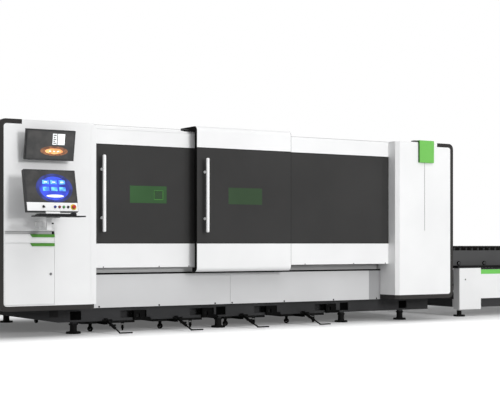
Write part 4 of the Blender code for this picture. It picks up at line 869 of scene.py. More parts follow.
# The dark green of the cap's left side is painted shade: that side faces away from the lamps.
cap_side = coat("cap_side_green", (0.030, 0.120, 0.020), 0.45, tone=0.08, specular=0.3)
low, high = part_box("green_cap")
cabinet_low, cabinet_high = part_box("right_cabinet")
face_y, top_z = cabinet_low.y, cabinet_high.z
outline = [(face_y - cap_gap, low.z), (low.y + cap_corner, low.z), (low.y, low.z + cap_corner)]
outline += [
    (low.y + cap_round * (1 - math.cos(a)), high.z - cap_round * (1 - math.sin(a)))
    for a in (math.radians(degrees) for degrees in range(0, 91, 15))
]
outline += [(high.y - cap_corner, high.z), (high.y, high.z - cap_corner), (high.y, top_z + cap_gap),
            (face_y - cap_gap, top_z + cap_gap)]
shape = bmesh.new()
pulled(shape, outline, "x", low.x, high.x)
side_edges = [e for e in shape.edges if abs(e.verts[0].co.x - e.verts[1].co.x) < 1e-6]
bmesh.ops.bevel(shape, geom=side_edges, offset=cap_edge_bevel, segments=2, profile=0.5,
                affect="EDGES", clamp_overlap=True)
piece("moulded_green_cap", shape, cap_green, "machine", ("green_cap",))
# A dark green block on the cap's left side: painted shade.
shape = bmesh.new()
block(shape, (low.x - cap_side_shade_thick, low.y + 0.0040, low.z + 0.0030),
      (low.x - 0.0002, face_y - 0.0005, high.z - 0.0040), 0.0012, 1)
piece("cap_side_painted_shade", shape, cap_side)
shape = bmesh.new()
block(shape, (groove_x[0], face_y - groove_proud, groove_z[0]),
      (groove_x[1], face_y - face_gap, groove_z[1]), 0.0003, 1)
block(shape, (tab_x[0], face_y + tab_y[0], top_z + 0.0002),
      (tab_x[1], face_y + tab_y[1], top_z + tab_tall), 0.0030, 2)
piece("right_cabinet_black_parts", shape, black_plastic_and_painted_shade)

# The bed is a welded box-section frame in a textured dark grey coat. Its levelling feet are
# blackened steel, each with a hexagonal lock nut under the beam and a rubber ring on its pad.
bed_colour = (0.030, 0.030, 0.031)
foot_colour = (0.003, 0.003, 0.003)
foot_top_z = 0.098
below_floor = -1.0
same_foot = 0.25
lock_nut = [(0.0, 0.0440), (0.0030, 0.0480), (0.0150, 0.0480), (0.0180, 0.0440)]
lock_nut_z = 0.0860
pad_collar = [(0.0, 0.0400), (0.0060, 0.0400), (0.0200, 0.0372)]
pad_collar_z = 0.0150
pad_ring = [(0.0003, 0.0015), (0.0060, 0.0025), (0.0100, 0.0010), (0.0112, -0.0060)]
bed_coat = coat("bed_coat", bed_colour, 0.62, tone=0.16, peel=0.0006, scale=330.0, specular=0.18)
foot_steel = coat("foot_steel", (0.006, 0.006, 0.006), 0.55, tone=0.2, specular=0.12)
foot_rubber_and_shade_black = coat("foot_rubber_and_shade_black", (0.002, 0.002, 0.002), 0.85, tone=0.3, specular=0.02)


def banded(finish, bands):
    """Recolour a finish inside boxes: each band is a low corner, a high corner and a colour."""
    tree = finish.node_tree
    shader = tree.nodes["Principled BSDF"]
    socket = shader.inputs["Base Color"].links[0].from_socket
    place = node_input(tree, "ShaderNodeTexCoord", (-1300, 900))
    parts = node_input(tree, "ShaderNodeSeparateXYZ", (-1100, 900))
    tree.links.new(place.outputs["Object"], parts.inputs[0])
    for number, (low, high, colour) in enumerate(bands):
        y = 900 + 60 * number
        inside = None
        for axis, a, b in zip("XYZ", low, high):
            if a is None:
                continue
            test = node_input(tree, "ShaderNodeMath", (-900, y), operation="COMPARE")
            tree.links.new(parts.outputs[axis], test.inputs[0])
            test.inputs[1].default_value = (a + b) / 2
            test.inputs[2].default_value = (b - a) / 2
            if inside is None:
                inside = test.outputs[0]
            else:
                both = node_input(tree, "ShaderNodeMath", (-700, y), operation="MULTIPLY")
                tree.links.new(inside, both.inputs[0])
                tree.links.new(test.outputs[0], both.inputs[1])
                inside = both.outputs[0]
        mixed = node_input(tree, "ShaderNodeMix", (-500, y), data_type="RGBA")
        tree.links.new(inside, mixed.inputs["Factor"])
        tree.links.new(socket, mixed.inputs["A"])
        mixed.inputs["B"].default_value = (*colour, 1)
        socket = mixed.outputs["Result"]
    tree.links.new(socket, shader.inputs["Base Color"])


banded(bed_coat, [((None, None, below_floor), (None, None, foot_top_z), foot_colour)])
recoat(bed_coat, "bed_frame")
pads = {}
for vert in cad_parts["bed_frame"].data.vertices:
    if vert.co.z < 0.0005:
        key = next((k for k in pads if math.dist(k, vert.co[:2]) < same_foot), vert.co[:2])
        pads.setdefault(tuple(key), []).append(vert.co.copy())
nuts = bmesh.new()
rings = bmesh.new()
for spots in pads.values():
    x = (min(s.x for s in spots) + max(s.x for s in spots)) / 2
    y = (min(s.y for s in spots) + max(s.y for s in spots)) / 2
    pad_radius = max(s.x for s in spots) - x
    turned(nuts, lock_nut, (x, y, lock_nut_z), (0, 0, 1), 6)
    turned(nuts, pad_collar, (x, y, pad_collar_z), (0, 0, 1), 28)
    turned(rings, [(along, pad_radius + more) for along, more in pad_ring], (x, y, 0.0),
           (0, 0, 1), 36)
piece("bed_lock_nuts", nuts, foot_steel)
piece("bed_pad_rings", rings, foot_rubber_and_shade_black)

# Black sheets close the beam's windows from behind, as painted shade of the beam's hollow inside,
# and a dark square at its left taper is painted shade of a square hole there. Both are thin flat
# sheets, and the window sheets are set back inside the openings.
beam_front_y = -0.6800
shade_sheet_setback = 0.0120
shade_sheet_thick = 0.002
narrow_window_x = (-3.7790, -2.0760, -0.4180, 0.4520)
narrow_window_half = 0.0595
narrow_window_z = (0.1405, 0.2295)
wide_window_right_x = (-2.9780, -2.1630, -1.3480, -0.5330)
wide_window = 0.1900
wide_window_z = (0.1485, 0.2215)
hole_shade_x = (-4.0640, -3.9690)
hole_shade_z = (0.1760, 0.2440)
hole_shade_proud = 0.0014
hole_painted_shade_dark = coat("hole_painted_shade_dark", (0.013, 0.013, 0.013), 0.65, tone=0.3, specular=0.15)
# Painted shade: black sheets deepen the dark inside the beam's windows.
shade_sheet_y = (beam_front_y + shade_sheet_setback, beam_front_y + shade_sheet_setback + shade_sheet_thick)
shape = bmesh.new()
for x in narrow_window_x:
    block(shape, (x - narrow_window_half, shade_sheet_y[0], narrow_window_z[0]),
          (x + narrow_window_half, shade_sheet_y[1], narrow_window_z[1]))
for x in wide_window_right_x:
    block(shape, (x - wide_window, shade_sheet_y[0], wide_window_z[0]),
          (x - 0.0005, shade_sheet_y[1], wide_window_z[1]))
piece("beam_window_painted_shade", shape, foot_rubber_and_shade_black)
# Painted shade: a dark square for the square hole at the beam's left taper.
shape = bmesh.new()
block(shape, (hole_shade_x[0], beam_front_y - hole_shade_proud, hole_shade_z[0]),
      (hole_shade_x[1], beam_front_y - 0.0002, hole_shade_z[1]), 0.0005, 1)
piece("beam_hole_painted_shade", shape, hole_painted_shade_dark)

# The skirts are thin white sheets, set back under the doors; their pale grey-white is painted
# shade. The last hand's breadth beside the right cabinet is a darker grey band, a painted shadow
# cast by the right cabinet.
cabinet_shadow_x = (-0.0786, 0.0900)
cabinet_shadow_z = (0.2, 0.70)
cabinet_shadow_grey = (0.31, 0.31, 0.315)
# Painted shade: the skirts' grey-white, and a darker band for the right cabinet's shadow.
skirt_painted_shade_coat = coat("skirt_painted_shade_coat", (0.59, 0.59, 0.595), 0.45, soil=0.14)
banded(skirt_painted_shade_coat, [((cabinet_shadow_x[0], None, cabinet_shadow_z[0]), (cabinet_shadow_x[1], None, cabinet_shadow_z[1]),
                     cabinet_shadow_grey)])
recoat(skirt_painted_shade_coat, "left_skirt", "right_skirt")

# Each scrap cart is a shallow welded pan on four swivel casters, with a hinge bracket for its
# pull rod and, on all but the first, a latch arm that reaches along the front of the bed.
cart_count = 4
first_cart_x = -3.3430
cart_pitch = 0.815
pan_bottom_z = 0.0845
pan_top_z = 0.1158
pan_sheet = 0.004
pan_front_y = -0.5300
pan_back_y = 1.1200
pan_half_width = 0.2995
caster_offset = 0.185
caster_rows = (-0.4700, 1.0600)
wheel_radius = 0.0298
tyre_profile = [(-0.0110, 0.0160), (-0.0100, 0.0270), (-0.0070, wheel_radius),
                (0.0070, wheel_radius), (0.0100, 0.0270), (0.0110, 0.0160)]
hub_profile = [(0.0111, 0.0150), (0.0120, 0.0140), (0.0122, 0.0060), (0.0136, 0.0056),
               (0.0138, 0.0020)]
swivel_head = [(0.0, 0.0170), (0.0060, 0.0200), (0.0110, 0.0200)]
swivel_head_z = 0.0740
swivel_angles = (42, -25, 15, -38)
fork_offset = 0.0150
fork_half = (0.0012, 0.0120)
fork_z = (wheel_radius - 0.006, 0.0760)
rod_offset = -0.115
rod_pivot = (-0.7100, 0.1370)
rod_foot = (-1.0540, 0.0200)
bracket_inner = 0.0095
bracket_sheet = 0.0060
bracket_foot_top = 0.1100
bracket_ear_z = (0.1080, 0.1505)
bracket_ear_half = 0.0140
pivot_half = 0.021
pivot_radius = 0.0048
latch_left = -0.425
latch_plate_y = (-0.7100, -0.6900)
latch_plate_z = (0.1180, 0.2220)
latch_posts = ((0.0, 0.028), (0.068, 0.128))
latch_bridge_x = (0.026, 0.070)
latch_bridge_z = (0.1890, 0.2215)
latch_bar_long = 0.190
latch_bar_y = (-0.7120, -0.6880)
latch_bar_z = (0.1175, 0.1480)
arm_radius = 0.0085
arm_start = (-0.240, -0.7000, 0.1270)
arm_end = (-0.020, -0.4900, 0.0920)
short_arm_start = (-0.070, -0.5600, 0.0930)
short_arm_end = (-0.020, -0.5000, 0.0900)
striker_x = (0.027, 0.069)
striker_proud = (0.0040, 0.0020)
striker_z = (0.1300, 0.1920)
cart_steel = coat("cart_steel", (0.0035, 0.0035, 0.0035), 0.6, tone=0.3, peel=0.0004, scale=300.0,
                  specular=0.04)
cart_grey = coat("cart_grey", (0.024, 0.024, 0.024), 0.6, tone=0.2, peel=0.0004, scale=300.0,
                 specular=0.15)
tyre_rubber = coat("tyre_rubber", (0.003, 0.003, 0.003), 0.8, tone=0.3, specular=0.04)
hub_grey = coat("hub_grey", (0.12, 0.12, 0.12), 0.45, tone=0.1)
striker_grey = coat("striker_grey", (0.010, 0.010, 0.010), 0.6, tone=0.2, specular=0.15)


def cart_pan(x):
    """The pan: a floor sheet and four low walls."""
    shape = bmesh.new()
    left, right = x - pan_half_width, x + pan_half_width
    front, back = pan_front_y, pan_back_y
    block(shape, (left, front, pan_bottom_z), (right, back, pan_bottom_z + pan_sheet))
    walls = (
        (left, front, right, front + pan_sheet),
        (left, back - pan_sheet, right, back),
        (left, front + pan_sheet, left + pan_sheet, back - pan_sheet),
        (right - pan_sheet, front + pan_sheet, right, back - pan_sheet),
    )
    for x0, y0, x1, y1 in walls:
        block(shape, (x0, y0, pan_bottom_z + pan_sheet), (x1, y1, pan_top_z), 0.0012, 1)
    return shape


def rod_bracket(shape, x):
    """Two ears on the pan's front that hold the pull rod's pivot pin."""
    for side in (-1, 1):
        inner = x + side * bracket_inner
        x0, x1 = sorted((inner, inner + side * bracket_sheet))
        block(shape, (x0, rod_pivot[0] - bracket_ear_half, pan_bottom_z),
              (x1, pan_front_y + 0.0005, bracket_foot_top), 0.0012, 1)
        block(shape, (x0, rod_pivot[0] - bracket_ear_half, bracket_ear_z[0]),
              (x1, rod_pivot[0] + bracket_ear_half, bracket_ear_z[1]), 0.0020, 1)
    rod(shape, [(x - pivot_half, *rod_pivot), (x + pivot_half, *rod_pivot)], pivot_radius, 16)


def latch_plate(shape, caster_x):
    """The upright latch plate in front of the beam, with the bar that carries it."""
    left = caster_x + latch_left
    for x0, x1 in latch_posts:
        block(shape, (left + x0, latch_plate_y[0], latch_plate_z[0]),
              (left + x1, latch_plate_y[1], latch_plate_z[1]), 0.0020, 1)
    block(shape, (left + latch_bridge_x[0], latch_plate_y[0] + 0.0005, latch_bridge_z[0]),
          (left + latch_bridge_x[1], latch_plate_y[1] - 0.0005, latch_bridge_z[1]))
    block(shape, (left, latch_bar_y[0], latch_bar_z[0]),
          (left + latch_bar_long, latch_bar_y[1], latch_bar_z[1]), 0.0030, 1)


def cart_arm(shape, caster_x, start, end):
    """The bar that runs from beside a latch plate, or from a short stop, back to the cart."""
    rod(shape, [(caster_x + start[0], *start[1:]), (caster_x + end[0], *end[1:])], arm_radius, 10)


for number in range(cart_count):
    x = first_cart_x + cart_pitch * number
    body = f"scrap_cart_{number + 1}"
    piece(f"scrap_pan_{number + 1}", cart_pan(x), cart_grey, body, (body,))
    shape = bmesh.new()
    rod_bracket(shape, x + rod_offset)
    if number:
        latch_plate(shape, x - caster_offset)
        cart_arm(shape, x - caster_offset, arm_start, arm_end)
    else:
        cart_arm(shape, x - caster_offset, short_arm_start, short_arm_end)
    tyres = bmesh.new()
    hubs = bmesh.new()
    casters = [(x + dx, y) for y in caster_rows for dx in (-caster_offset, caster_offset)]
    for (caster_x, y), degrees in zip(casters, swivel_angles):
        axle = Vector((math.cos(math.radians(degrees)), math.sin(math.radians(degrees)), 0))
        heading = Vector((-axle.y, axle.x, 0))
        place = Matrix((axle, heading, Vector((0, 0, 1)))).transposed().to_4x4()
        place.translation = (caster_x, y, 0)
        turned(shape, swivel_head, (caster_x, y, swivel_head_z), (0, 0, 1), 20)
        centre = (caster_x, y, wheel_radius + 0.0001)
        turned(tyres, tyre_profile, centre, axle, 28)
        for side in (-1, 1):
            block(shape, (side * fork_offset - fork_half[0], -fork_half[1], fork_z[0]),
                  (side * fork_offset + fork_half[0], fork_half[1], fork_z[1]), 0.0008, 1, place)
            turned(hubs, hub_profile, centre, axle * side, 20)
    piece(f"scrap_cart_{number + 1}_fittings", shape, cart_steel, body)
    piece(f"scrap_cart_{number + 1}_tyres", tyres, tyre_rubber, body)
    piece(f"scrap_cart_{number + 1}_hubs", hubs, hub_grey, body)

shape = bmesh.new()
latch_plate(shape, first_cart_x + cart_pitch * cart_count - caster_offset)
piece("last_latch_plate", shape, cart_steel)
shape = bmesh.new()
for number in range(1, cart_count + 1):
    left = first_cart_x + cart_pitch * number - caster_offset + latch_left
    block(shape, (left + striker_x[0], beam_front_y - striker_proud[0], striker_z[0]),
          (left + striker_x[1], beam_front_y - striker_proud[1], striker_z[1]))
piece("latch_striker_plates", shape, striker_grey)

# Each pull rod is a sleeve on a thinner bar with a small cross piece at its eye, and ends in a
# flat tapered grip that lies just over the floor.
sleeve_radius = 0.0155
sleeve_start = 0.0200
sleeve_share = 0.66
neck_radius = 0.0070
bar_radius = 0.0080
eye_profile = [(-0.0088, 0.0120), (-0.0076, 0.0136), (0.0076, 0.0136), (0.0088, 0.0120)]
cross_pieces = ((0.085, 0.054), (0.46, 0.034))
cross_radius = 0.0095
cross_skew = 0.006
cross_lift = 0.004
grip_length = 0.138
grip_thick = 0.0065
grip_left = 0.0065
grip_y = (-0.0060, 0.0110)
grip_tip_y = (-0.0030, 0.0080)
grip_bulge = (0.0200, 0.0190)
for number in range(cart_count):
    x = first_cart_x + cart_pitch * number + rod_offset
    body = f"pull_rod_{number + 1}"
    head = Vector((x, *rod_pivot))
    foot = Vector((x, *rod_foot))
    along = (foot - head).normalized()
    reach = (foot - head).length
    sleeve_end = reach * sleeve_share
    shape = bmesh.new()
    turned(shape, eye_profile, head, (1, 0, 0), 24)
    turned(shape, [(0.0120, neck_radius), (sleeve_start, sleeve_radius),
                   (sleeve_end - 0.006, sleeve_radius), (sleeve_end, neck_radius),
                   (reach, bar_radius)], head, along, 16)
    for share, half in cross_pieces:
        spot = head + along * reach * share + Vector((0, 0, cross_lift))
        rod(shape, [spot - Vector((half, cross_skew, 0)), spot + Vector((half, -cross_skew, 0))],
            cross_radius, 10)
    pulled(shape, [(x - grip_left, foot.y + grip_y[0]), (x + grip_length, foot.y + grip_tip_y[0]),
                   (x + grip_length, foot.y + grip_tip_y[1]),
                   (x + grip_bulge[0], foot.y + grip_bulge[1]),
                   (x - grip_left, foot.y + grip_y[1])],
           "z", foot.z - grip_thick, foot.z + grip_thick)
    piece(f"pull_rod_{number + 1}_with_grip", shape, cart_steel, body, (body,))

# The exchange table is a welded frame. Its end columns and panels are white, its rails are
# dark grey with black top strips, and a green stripe is let in under the front top rail.
column_x = ((1.425, 1.560), (4.560, 4.700))
column_y = ((-0.620, -0.440), (1.180, 1.360))
column_z = (0.075, 0.6065)
top_strip_x = (1.425, 4.720)
top_strip_high_z = 0.645
table_foot_top_z = 0.074
column_white = (0.70, 0.70, 0.70)
rail_black = (0.002, 0.002, 0.002)
panel_screw_x = (1.5330, 4.5870)
panel_screw_z = 0.4643
table_coat = coat("table_coat", (0.034, 0.034, 0.035), 0.6, tone=0.14, peel=0.0005, scale=330.0,
                  specular=0.2)
table_bands = [((x0, y0, column_z[0]), (x1, y1, column_z[1]), column_white)
               for x0, x1 in column_x for y0, y1 in column_y]
table_bands += [
    ((top_strip_x[0], None, column_z[1]), (top_strip_x[1], None, top_strip_high_z), rail_black),
    ((None, None, below_floor), (None, None, table_foot_top_z), foot_colour),
]
banded(table_coat, table_bands)
recoat(table_coat, "table_frame")
stripe_green = coat("stripe_green", (0.160, 0.540, 0.105), 0.40, tone=0.04, specular=0.3)
recoat(stripe_green, "table_stripe")
low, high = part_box("table_stripe")
panel_low, panel_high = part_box("table_front_panel")
gap_foot, gap_top = high.z + 0.0008, panel_high.z + 0.0006
# Black strips above the green stripe, behind it and over the front panel's top, are painted shade of the
# recess under the top rail.
shape = bmesh.new()
block(shape, (low.x + 0.001, low.y + 0.0002, high.z + 0.0010),
      (high.x - 0.001, low.y + 0.0012, panel_high.z - 0.0002))
pulled(shape, [(low.x, gap_foot), (high.x, gap_foot), (high.x, gap_top), (low.x, gap_top)],
       "y", panel_low.y - 0.0008, panel_low.y - 0.0001)
piece("table_stripe_shadow_gap", shape, black_plastic_and_painted_shade)
panel_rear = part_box("table_rear_panel")[1].y
shape = bmesh.new()
for x in panel_screw_x:
    turned(shape, screw_head, (x, panel_low.y, panel_screw_z), (0, -1, 0), 14)
    turned(shape, screw_head, (x, panel_rear, panel_screw_z), (0, 1, 0), 14)
piece("table_panel_screws", shape, screw_black)

# Both pallets are frames of folded channel with toothed support slats set on edge across them.
# The slats are scorched by cutting, and the frames run on small flanged rollers.
pallet_y = (-0.4650, 1.2050)
channel_height = 0.191
channel_width = 0.060
channel_sheet = 0.008
end_channel_setback = 0.001
end_channel_trim = 0.002
brace_shares = (0.25, 0.5, 0.75)
brace_half = 0.025
brace_top = 0.0600
slat_count = 31
slat_pitch = 0.100
slat_top = 0.245
slat_deep = 0.130
slat_sheet = 0.005
slat_end_gap = 0.030
tooth_pitch = 0.048
tooth_tall = 0.022
tooth_tip = 0.007
seat_half = 0.009
seat_long = 0.022
seat_tall = 0.030
roller_count = 7
roller_radius = 0.0280
first_roller = 0.437
roller_pitch = 0.430
roller_profile = [(0.0003, roller_radius), (0.0030, roller_radius), (0.0040, 0.0262),
                  (0.0110, 0.0262), (0.0125, 0.0240)]
roller_hub_profile = [(0.0100, 0.0170), (0.0130, 0.0165), (0.0132, 0.0090), (0.0122, 0.0080)]
roller_bolt_profile = [(0.0120, 0.0070), (0.0136, 0.0070), (0.0140, 0.0062)]
rust_range = (0.55, 0.72)
rust_brown = (0.045, 0.032, 0.025)
channel_grey = coat("channel_grey", (0.070, 0.070, 0.071), 0.55, tone=0.12, peel=0.0004, scale=330.0,
                    specular=0.2)
roller_grey = coat("roller_grey", (0.110, 0.110, 0.112), 0.4, tone=0.1, specular=0.3)
roller_black = coat("roller_black", (0.002, 0.002, 0.002), 0.7, tone=0.3, specular=0.03)
scorched = coat("scorched_slat", (0.016, 0.014, 0.013), 0.7, tone=0.45, peel=0.0012, scale=140.0,
                specular=0.25)
tree = scorched.node_tree
shader = tree.nodes["Principled BSDF"]
plain = shader.inputs["Base Color"].links[0].from_socket
slat_place = node_input(tree, "ShaderNodeTexCoord", (-1300, 700))
burn = node_input(tree, "ShaderNodeTexNoise", (-1100, 700), Scale=38.0, Detail=4.0)
rust = node_input(tree, "ShaderNodeMapRange", (-900, 700))
rust.inputs["From Min"].default_value = rust_range[0]
rust.inputs["From Max"].default_value = rust_range[1]
rusted = node_input(tree, "ShaderNodeMix", (-700, 700), data_type="RGBA")
rusted.inputs["B"].default_value = (*rust_brown, 1)
tree.links.new(slat_place.outputs["Object"], burn.inputs["Vector"])
tree.links.new(burn.outputs["Fac"], rust.inputs["Value"])
tree.links.new(rust.outputs["Result"], rusted.inputs["Factor"])
tree.links.new(plain, rusted.inputs["A"])
tree.links.new(rusted.outputs["Result"], shader.inputs["Base Color"])


def channel(shape, web, lip, foot, top, trim, axis, start, end):
    """A folded channel: a web with two flanges that reach from it to the lip."""
    inner = web + (channel_sheet if lip > web else -channel_sheet)
    pulled(shape, [(web, foot + trim), (lip, foot + trim), (lip, foot + channel_sheet),
                   (inner, foot + channel_sheet), (inner, top - channel_sheet),
                   (lip, top - channel_sheet), (lip, top - trim), (web, top - trim)],
           axis, start, end)


def slat_outline(front, rear, crest):
    """A slat's side view: a straight lower edge and a row of blunt teeth on top."""
    teeth = int((rear - front) / tooth_pitch)
    pitch = (rear - front) / teeth
    points = [(front, crest - slat_deep), (rear, crest - slat_deep)]
    for k in range(teeth, 0, -1):
        middle = front + pitch * (k - 0.5)
        points += [(front + pitch * k, crest - tooth_tall),
                   (middle + tooth_tip / 2, crest - 0.0002),
                   (middle - tooth_tip / 2, crest - 0.0002)]
    return points + [(front, crest - tooth_tall)]


y0, y1 = pallet_y
slat_front, slat_rear = y0 + slat_end_gap, y1 - slat_end_gap
for name in ("upper_pallet", "lower_pallet"):
    low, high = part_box(name)
    bottom = low.z
    top = bottom + channel_height
    shape = bmesh.new()
    for web, lip in ((y0, y0 + channel_width), (y1, y1 - channel_width)):
        channel(shape, web, lip, bottom, top, 0.0, "x", low.x, high.x)
    for web, lip in ((low.x + end_channel_setback, low.x + channel_width),
                     (high.x - end_channel_setback, high.x - channel_width)):
        channel(shape, web, lip, bottom, top, end_channel_trim, "y",
                y0 + channel_sheet, y1 - channel_sheet)
    for share in brace_shares:
        x = low.x + (high.x - low.x) * share
        block(shape, (x - brace_half, y0 + channel_sheet, bottom + channel_sheet + 0.0005),
              (x + brace_half, y1 - channel_sheet, bottom + brace_top), 0.003, 1)
    slats = bmesh.new()
    outline = slat_outline(slat_front, slat_rear, bottom + slat_top)
    first_slat_x = (low.x + high.x) / 2 - slat_pitch * (slat_count - 1) / 2
    for k in range(slat_count):
        x = first_slat_x + slat_pitch * k
        pulled(slats, outline, "x", x - slat_sheet / 2, x + slat_sheet / 2)
        for seat in (slat_front, slat_rear - seat_long):
            block(shape, (x - seat_half, seat, top - channel_sheet),
                  (x + seat_half, seat + seat_long, top + seat_tall), 0.002, 1)
    piece(name + "_channels", shape, channel_grey, name, (name,))
    piece(name + "_slats", slats, scorched, name)
    wheels = bmesh.new()
    hubs = bmesh.new()
    for k in range(roller_count):
        x = low.x + first_roller + roller_pitch * k
        for web, out in ((y0, -1), (y1, 1)):
            centre = (x, web, bottom + roller_radius + 0.0008)
            turned(wheels, roller_profile, centre, (0, out, 0), 24)
            turned(hubs, roller_hub_profile, centre, (0, out, 0), 20)
            turned(wheels, roller_bolt_profile, centre, (0, out, 0), 6)
    piece(name + "_rollers", wheels, roller_black, name)
    piece(name + "_roller_hubs", hubs, roller_grey, name)

# Inside the cabin the gantry is a painted box beam. A cable chain lies on it, the carriage
# carries the cutting head, and the head ends in a ceramic ring and a copper nozzle.
chain_end_gap = 0.080
chain_pitch = 0.040
link_x = (0.030, 0.110)
link_gap = 0.005
link_tall = 0.045
joint_x = (0.036, 0.104)
joint_z = (0.006, 0.039)
rail_end_gap = 0.010
rail_and_rack = ((0.090, 0.060, 0.020, 0.002), (0.040, 0.012, 0.016, 0.003))
head_cover_foot = 0.150
head_cover_round = 0.012
head_plate_margins = (0.030, 0.240, 0.060)
head_collar_profile = [(0.0, 0.030), (0.004, 0.034), (0.055, 0.034), (0.062, 0.026),
                       (0.070, 0.026)]
head_collar_z = 0.079
ceramic_profile = [(0.0, 0.017), (0.006, 0.024), (0.040, 0.026), (0.044, 0.020)]
ceramic_z = 0.036
nozzle_profile = [(0.0, 0.0035), (0.002, 0.0060), (0.018, 0.0130), (0.026, 0.0150),
                  (0.037, 0.0150)]
beam_paint = coat("beam_paint", (0.48, 0.49, 0.50), 0.42, tone=0.05)
carriage_black = coat("carriage_black", (0.020, 0.020, 0.021), 0.45, tone=0.12, specular=0.3)
copper = coat("nozzle_copper", (0.72, 0.33, 0.16), 0.28, metallic=1.0, tone=0.12)
ceramic = coat("nozzle_ceramic", (0.78, 0.76, 0.70), 0.5, tone=0.04)
source_grey = coat("source_grey", (0.20, 0.21, 0.22), 0.5, tone=0.07)
recoat(beam_paint, "gantry_beam")
recoat(carriage_black, "head_carriage")
recoat(source_grey, "laser_source")
low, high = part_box("gantry_beam")
shape = bmesh.new()
chain_y = low.y + chain_end_gap
while chain_y < high.y - chain_end_gap:
    block(shape, (low.x + link_x[0], chain_y, high.z + 0.0005),
          (low.x + link_x[1], chain_y + chain_pitch - link_gap, high.z + link_tall), 0.004, 1)
    block(shape, (low.x + joint_x[0], chain_y + chain_pitch - 0.006, high.z + joint_z[0]),
          (low.x + joint_x[1], chain_y + chain_pitch + 0.001, high.z + joint_z[1]))
    chain_y += chain_pitch
piece("cable_chain", shape, gasket_rubber, "gantry")
shape = bmesh.new()
for far, near, tall, bevel in rail_and_rack:
    block(shape, (high.x - far, low.y + rail_end_gap, high.z + 0.0003),
          (high.x - near, high.y - rail_end_gap, high.z + tall), bevel, 1)
piece("gantry_rail_and_rack", shape, barrel_steel, "gantry")
low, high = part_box("cutting_head")
middle = ((low.x + high.x) / 2, (low.y + high.y) / 2)
shape = bmesh.new()
block(shape, (low.x, low.y, low.z + head_cover_foot), high, head_cover_round, 4)
piece("head_cover", shape, white_coat, "head", ("cutting_head",))
side, foot, top = head_plate_margins
shape = bmesh.new()
turned(shape, head_collar_profile, (*middle, low.z + head_collar_z), (0, 0, 1), 28)
block(shape, (high.x - 0.0015, low.y + side, low.z + foot),
      (high.x + 0.0008, high.y - side, high.z - top), 0.0006, 1)
piece("head_collar", shape, carriage_black, "head")
shape = bmesh.new()
turned(shape, ceramic_profile, (*middle, low.z + ceramic_z), (0, 0, 1), 28)
piece("head_ceramic_ring", shape, ceramic, "head")
shape = bmesh.new()
turned(shape, nozzle_profile, (*middle, low.z + 0.0002), (0, 0, 1), 24)
piece("head_nozzle", shape, copper, "head")

# The roof is white sheet on hidden rafters. Cover strips close its joints, lifting eyes are
# screwed in over the corners, and a flanged collar waits for the extraction duct.
strip_high = 0.0060
long_strip_x = (-3.7080, -1.8000, 0.0900)
long_strip_half = 0.030
long_strip_front_y = -0.5200
long_strip_rear_gap = 0.0600
cross_strip_y = (1.2400, 1.2900)
cross_strip_end_gap = 0.020
eye_x = (-4.5600, 0.7900)
eye_y = (-0.3500, 1.4200)
eye_flange = [(0.0002, 0.0200), (0.0050, 0.0200), (0.0065, 0.0180)]
eye_centre = 0.0165
eye_radius = 0.0090
eye_bar = 0.0032
eye_steps = 16
duct_place = (-1.9000, 1.4150)
duct_collar = [(0.0002, 0.1450), (0.0040, 0.1450), (0.0050, 0.1430), (0.0050, 0.1060),
               (0.0240, 0.1050), (0.0260, 0.1030), (0.0260, 0.0990), (0.0060, 0.0980)]
roof_low, roof_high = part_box("roof")
top = roof_high.z
shape = bmesh.new()
for x in long_strip_x:
    block(shape, (x - long_strip_half, long_strip_front_y, top + 0.0002),
          (x + long_strip_half, roof_high.y - long_strip_rear_gap, top + strip_high), 0.0020, 1)
block(shape, (roof_low.x + cross_strip_end_gap, cross_strip_y[0], top + 0.0002),
      (roof_high.x - cross_strip_end_gap, cross_strip_y[1], top + strip_high - 0.001), 0.0016, 1)
piece("roof_cover_strips", shape, white_coat)
shape = bmesh.new()
for x in eye_x:
    for y in eye_y:
        turned(shape, eye_flange, (x, y, top), (0, 0, 1), 24)
        turn = [math.tau * k / eye_steps for k in range(eye_steps + 1)]
        rod(shape, [(x + eye_radius * math.cos(a), y, top + eye_centre + eye_radius * math.sin(a))
                    for a in turn], eye_bar, 10)
piece("lifting_eyes", shape, barrel_steel)
shape = bmesh.new()
turned(shape, duct_collar, (*duct_place, top), (0, 0, 1), 48)
piece("extraction_collar", shape, barrel_steel)

# The rear and the left end of the cabin are clad in folded white panels on a dark frame, which
# shows in the open joints. Each panel is held by button screws, and some have louvres.
panel_proud = 0.0040
panel_joint = 0.0120
panel_screw_inset = 0.030
panel_screw = [(0.0, 0.0065), (0.0008, 0.0062), (0.0013, 0.0035)]
louvre_wide = 0.460
louvre_tall = 0.0170
louvre_step = 0.0420
louvre_count = 9
louvre_foot = 0.160
slot_end_gap = 0.006
slot_tall = 0.0080
frame_deep = 0.0200
floor_edge_wide = 0.2300
cladding_side_margin = 0.040
cladding_foot = 0.010
rear_columns, left_columns, rows = 5, 2, 2
rear_vented = {(1, 0), (3, 0), (1, 1), (3, 1)}
left_vented = {(0, 0)}
frame_dark = coat("cladding_frame_dark", (0.060, 0.060, 0.061), 0.6, tone=0.12, specular=0.2)


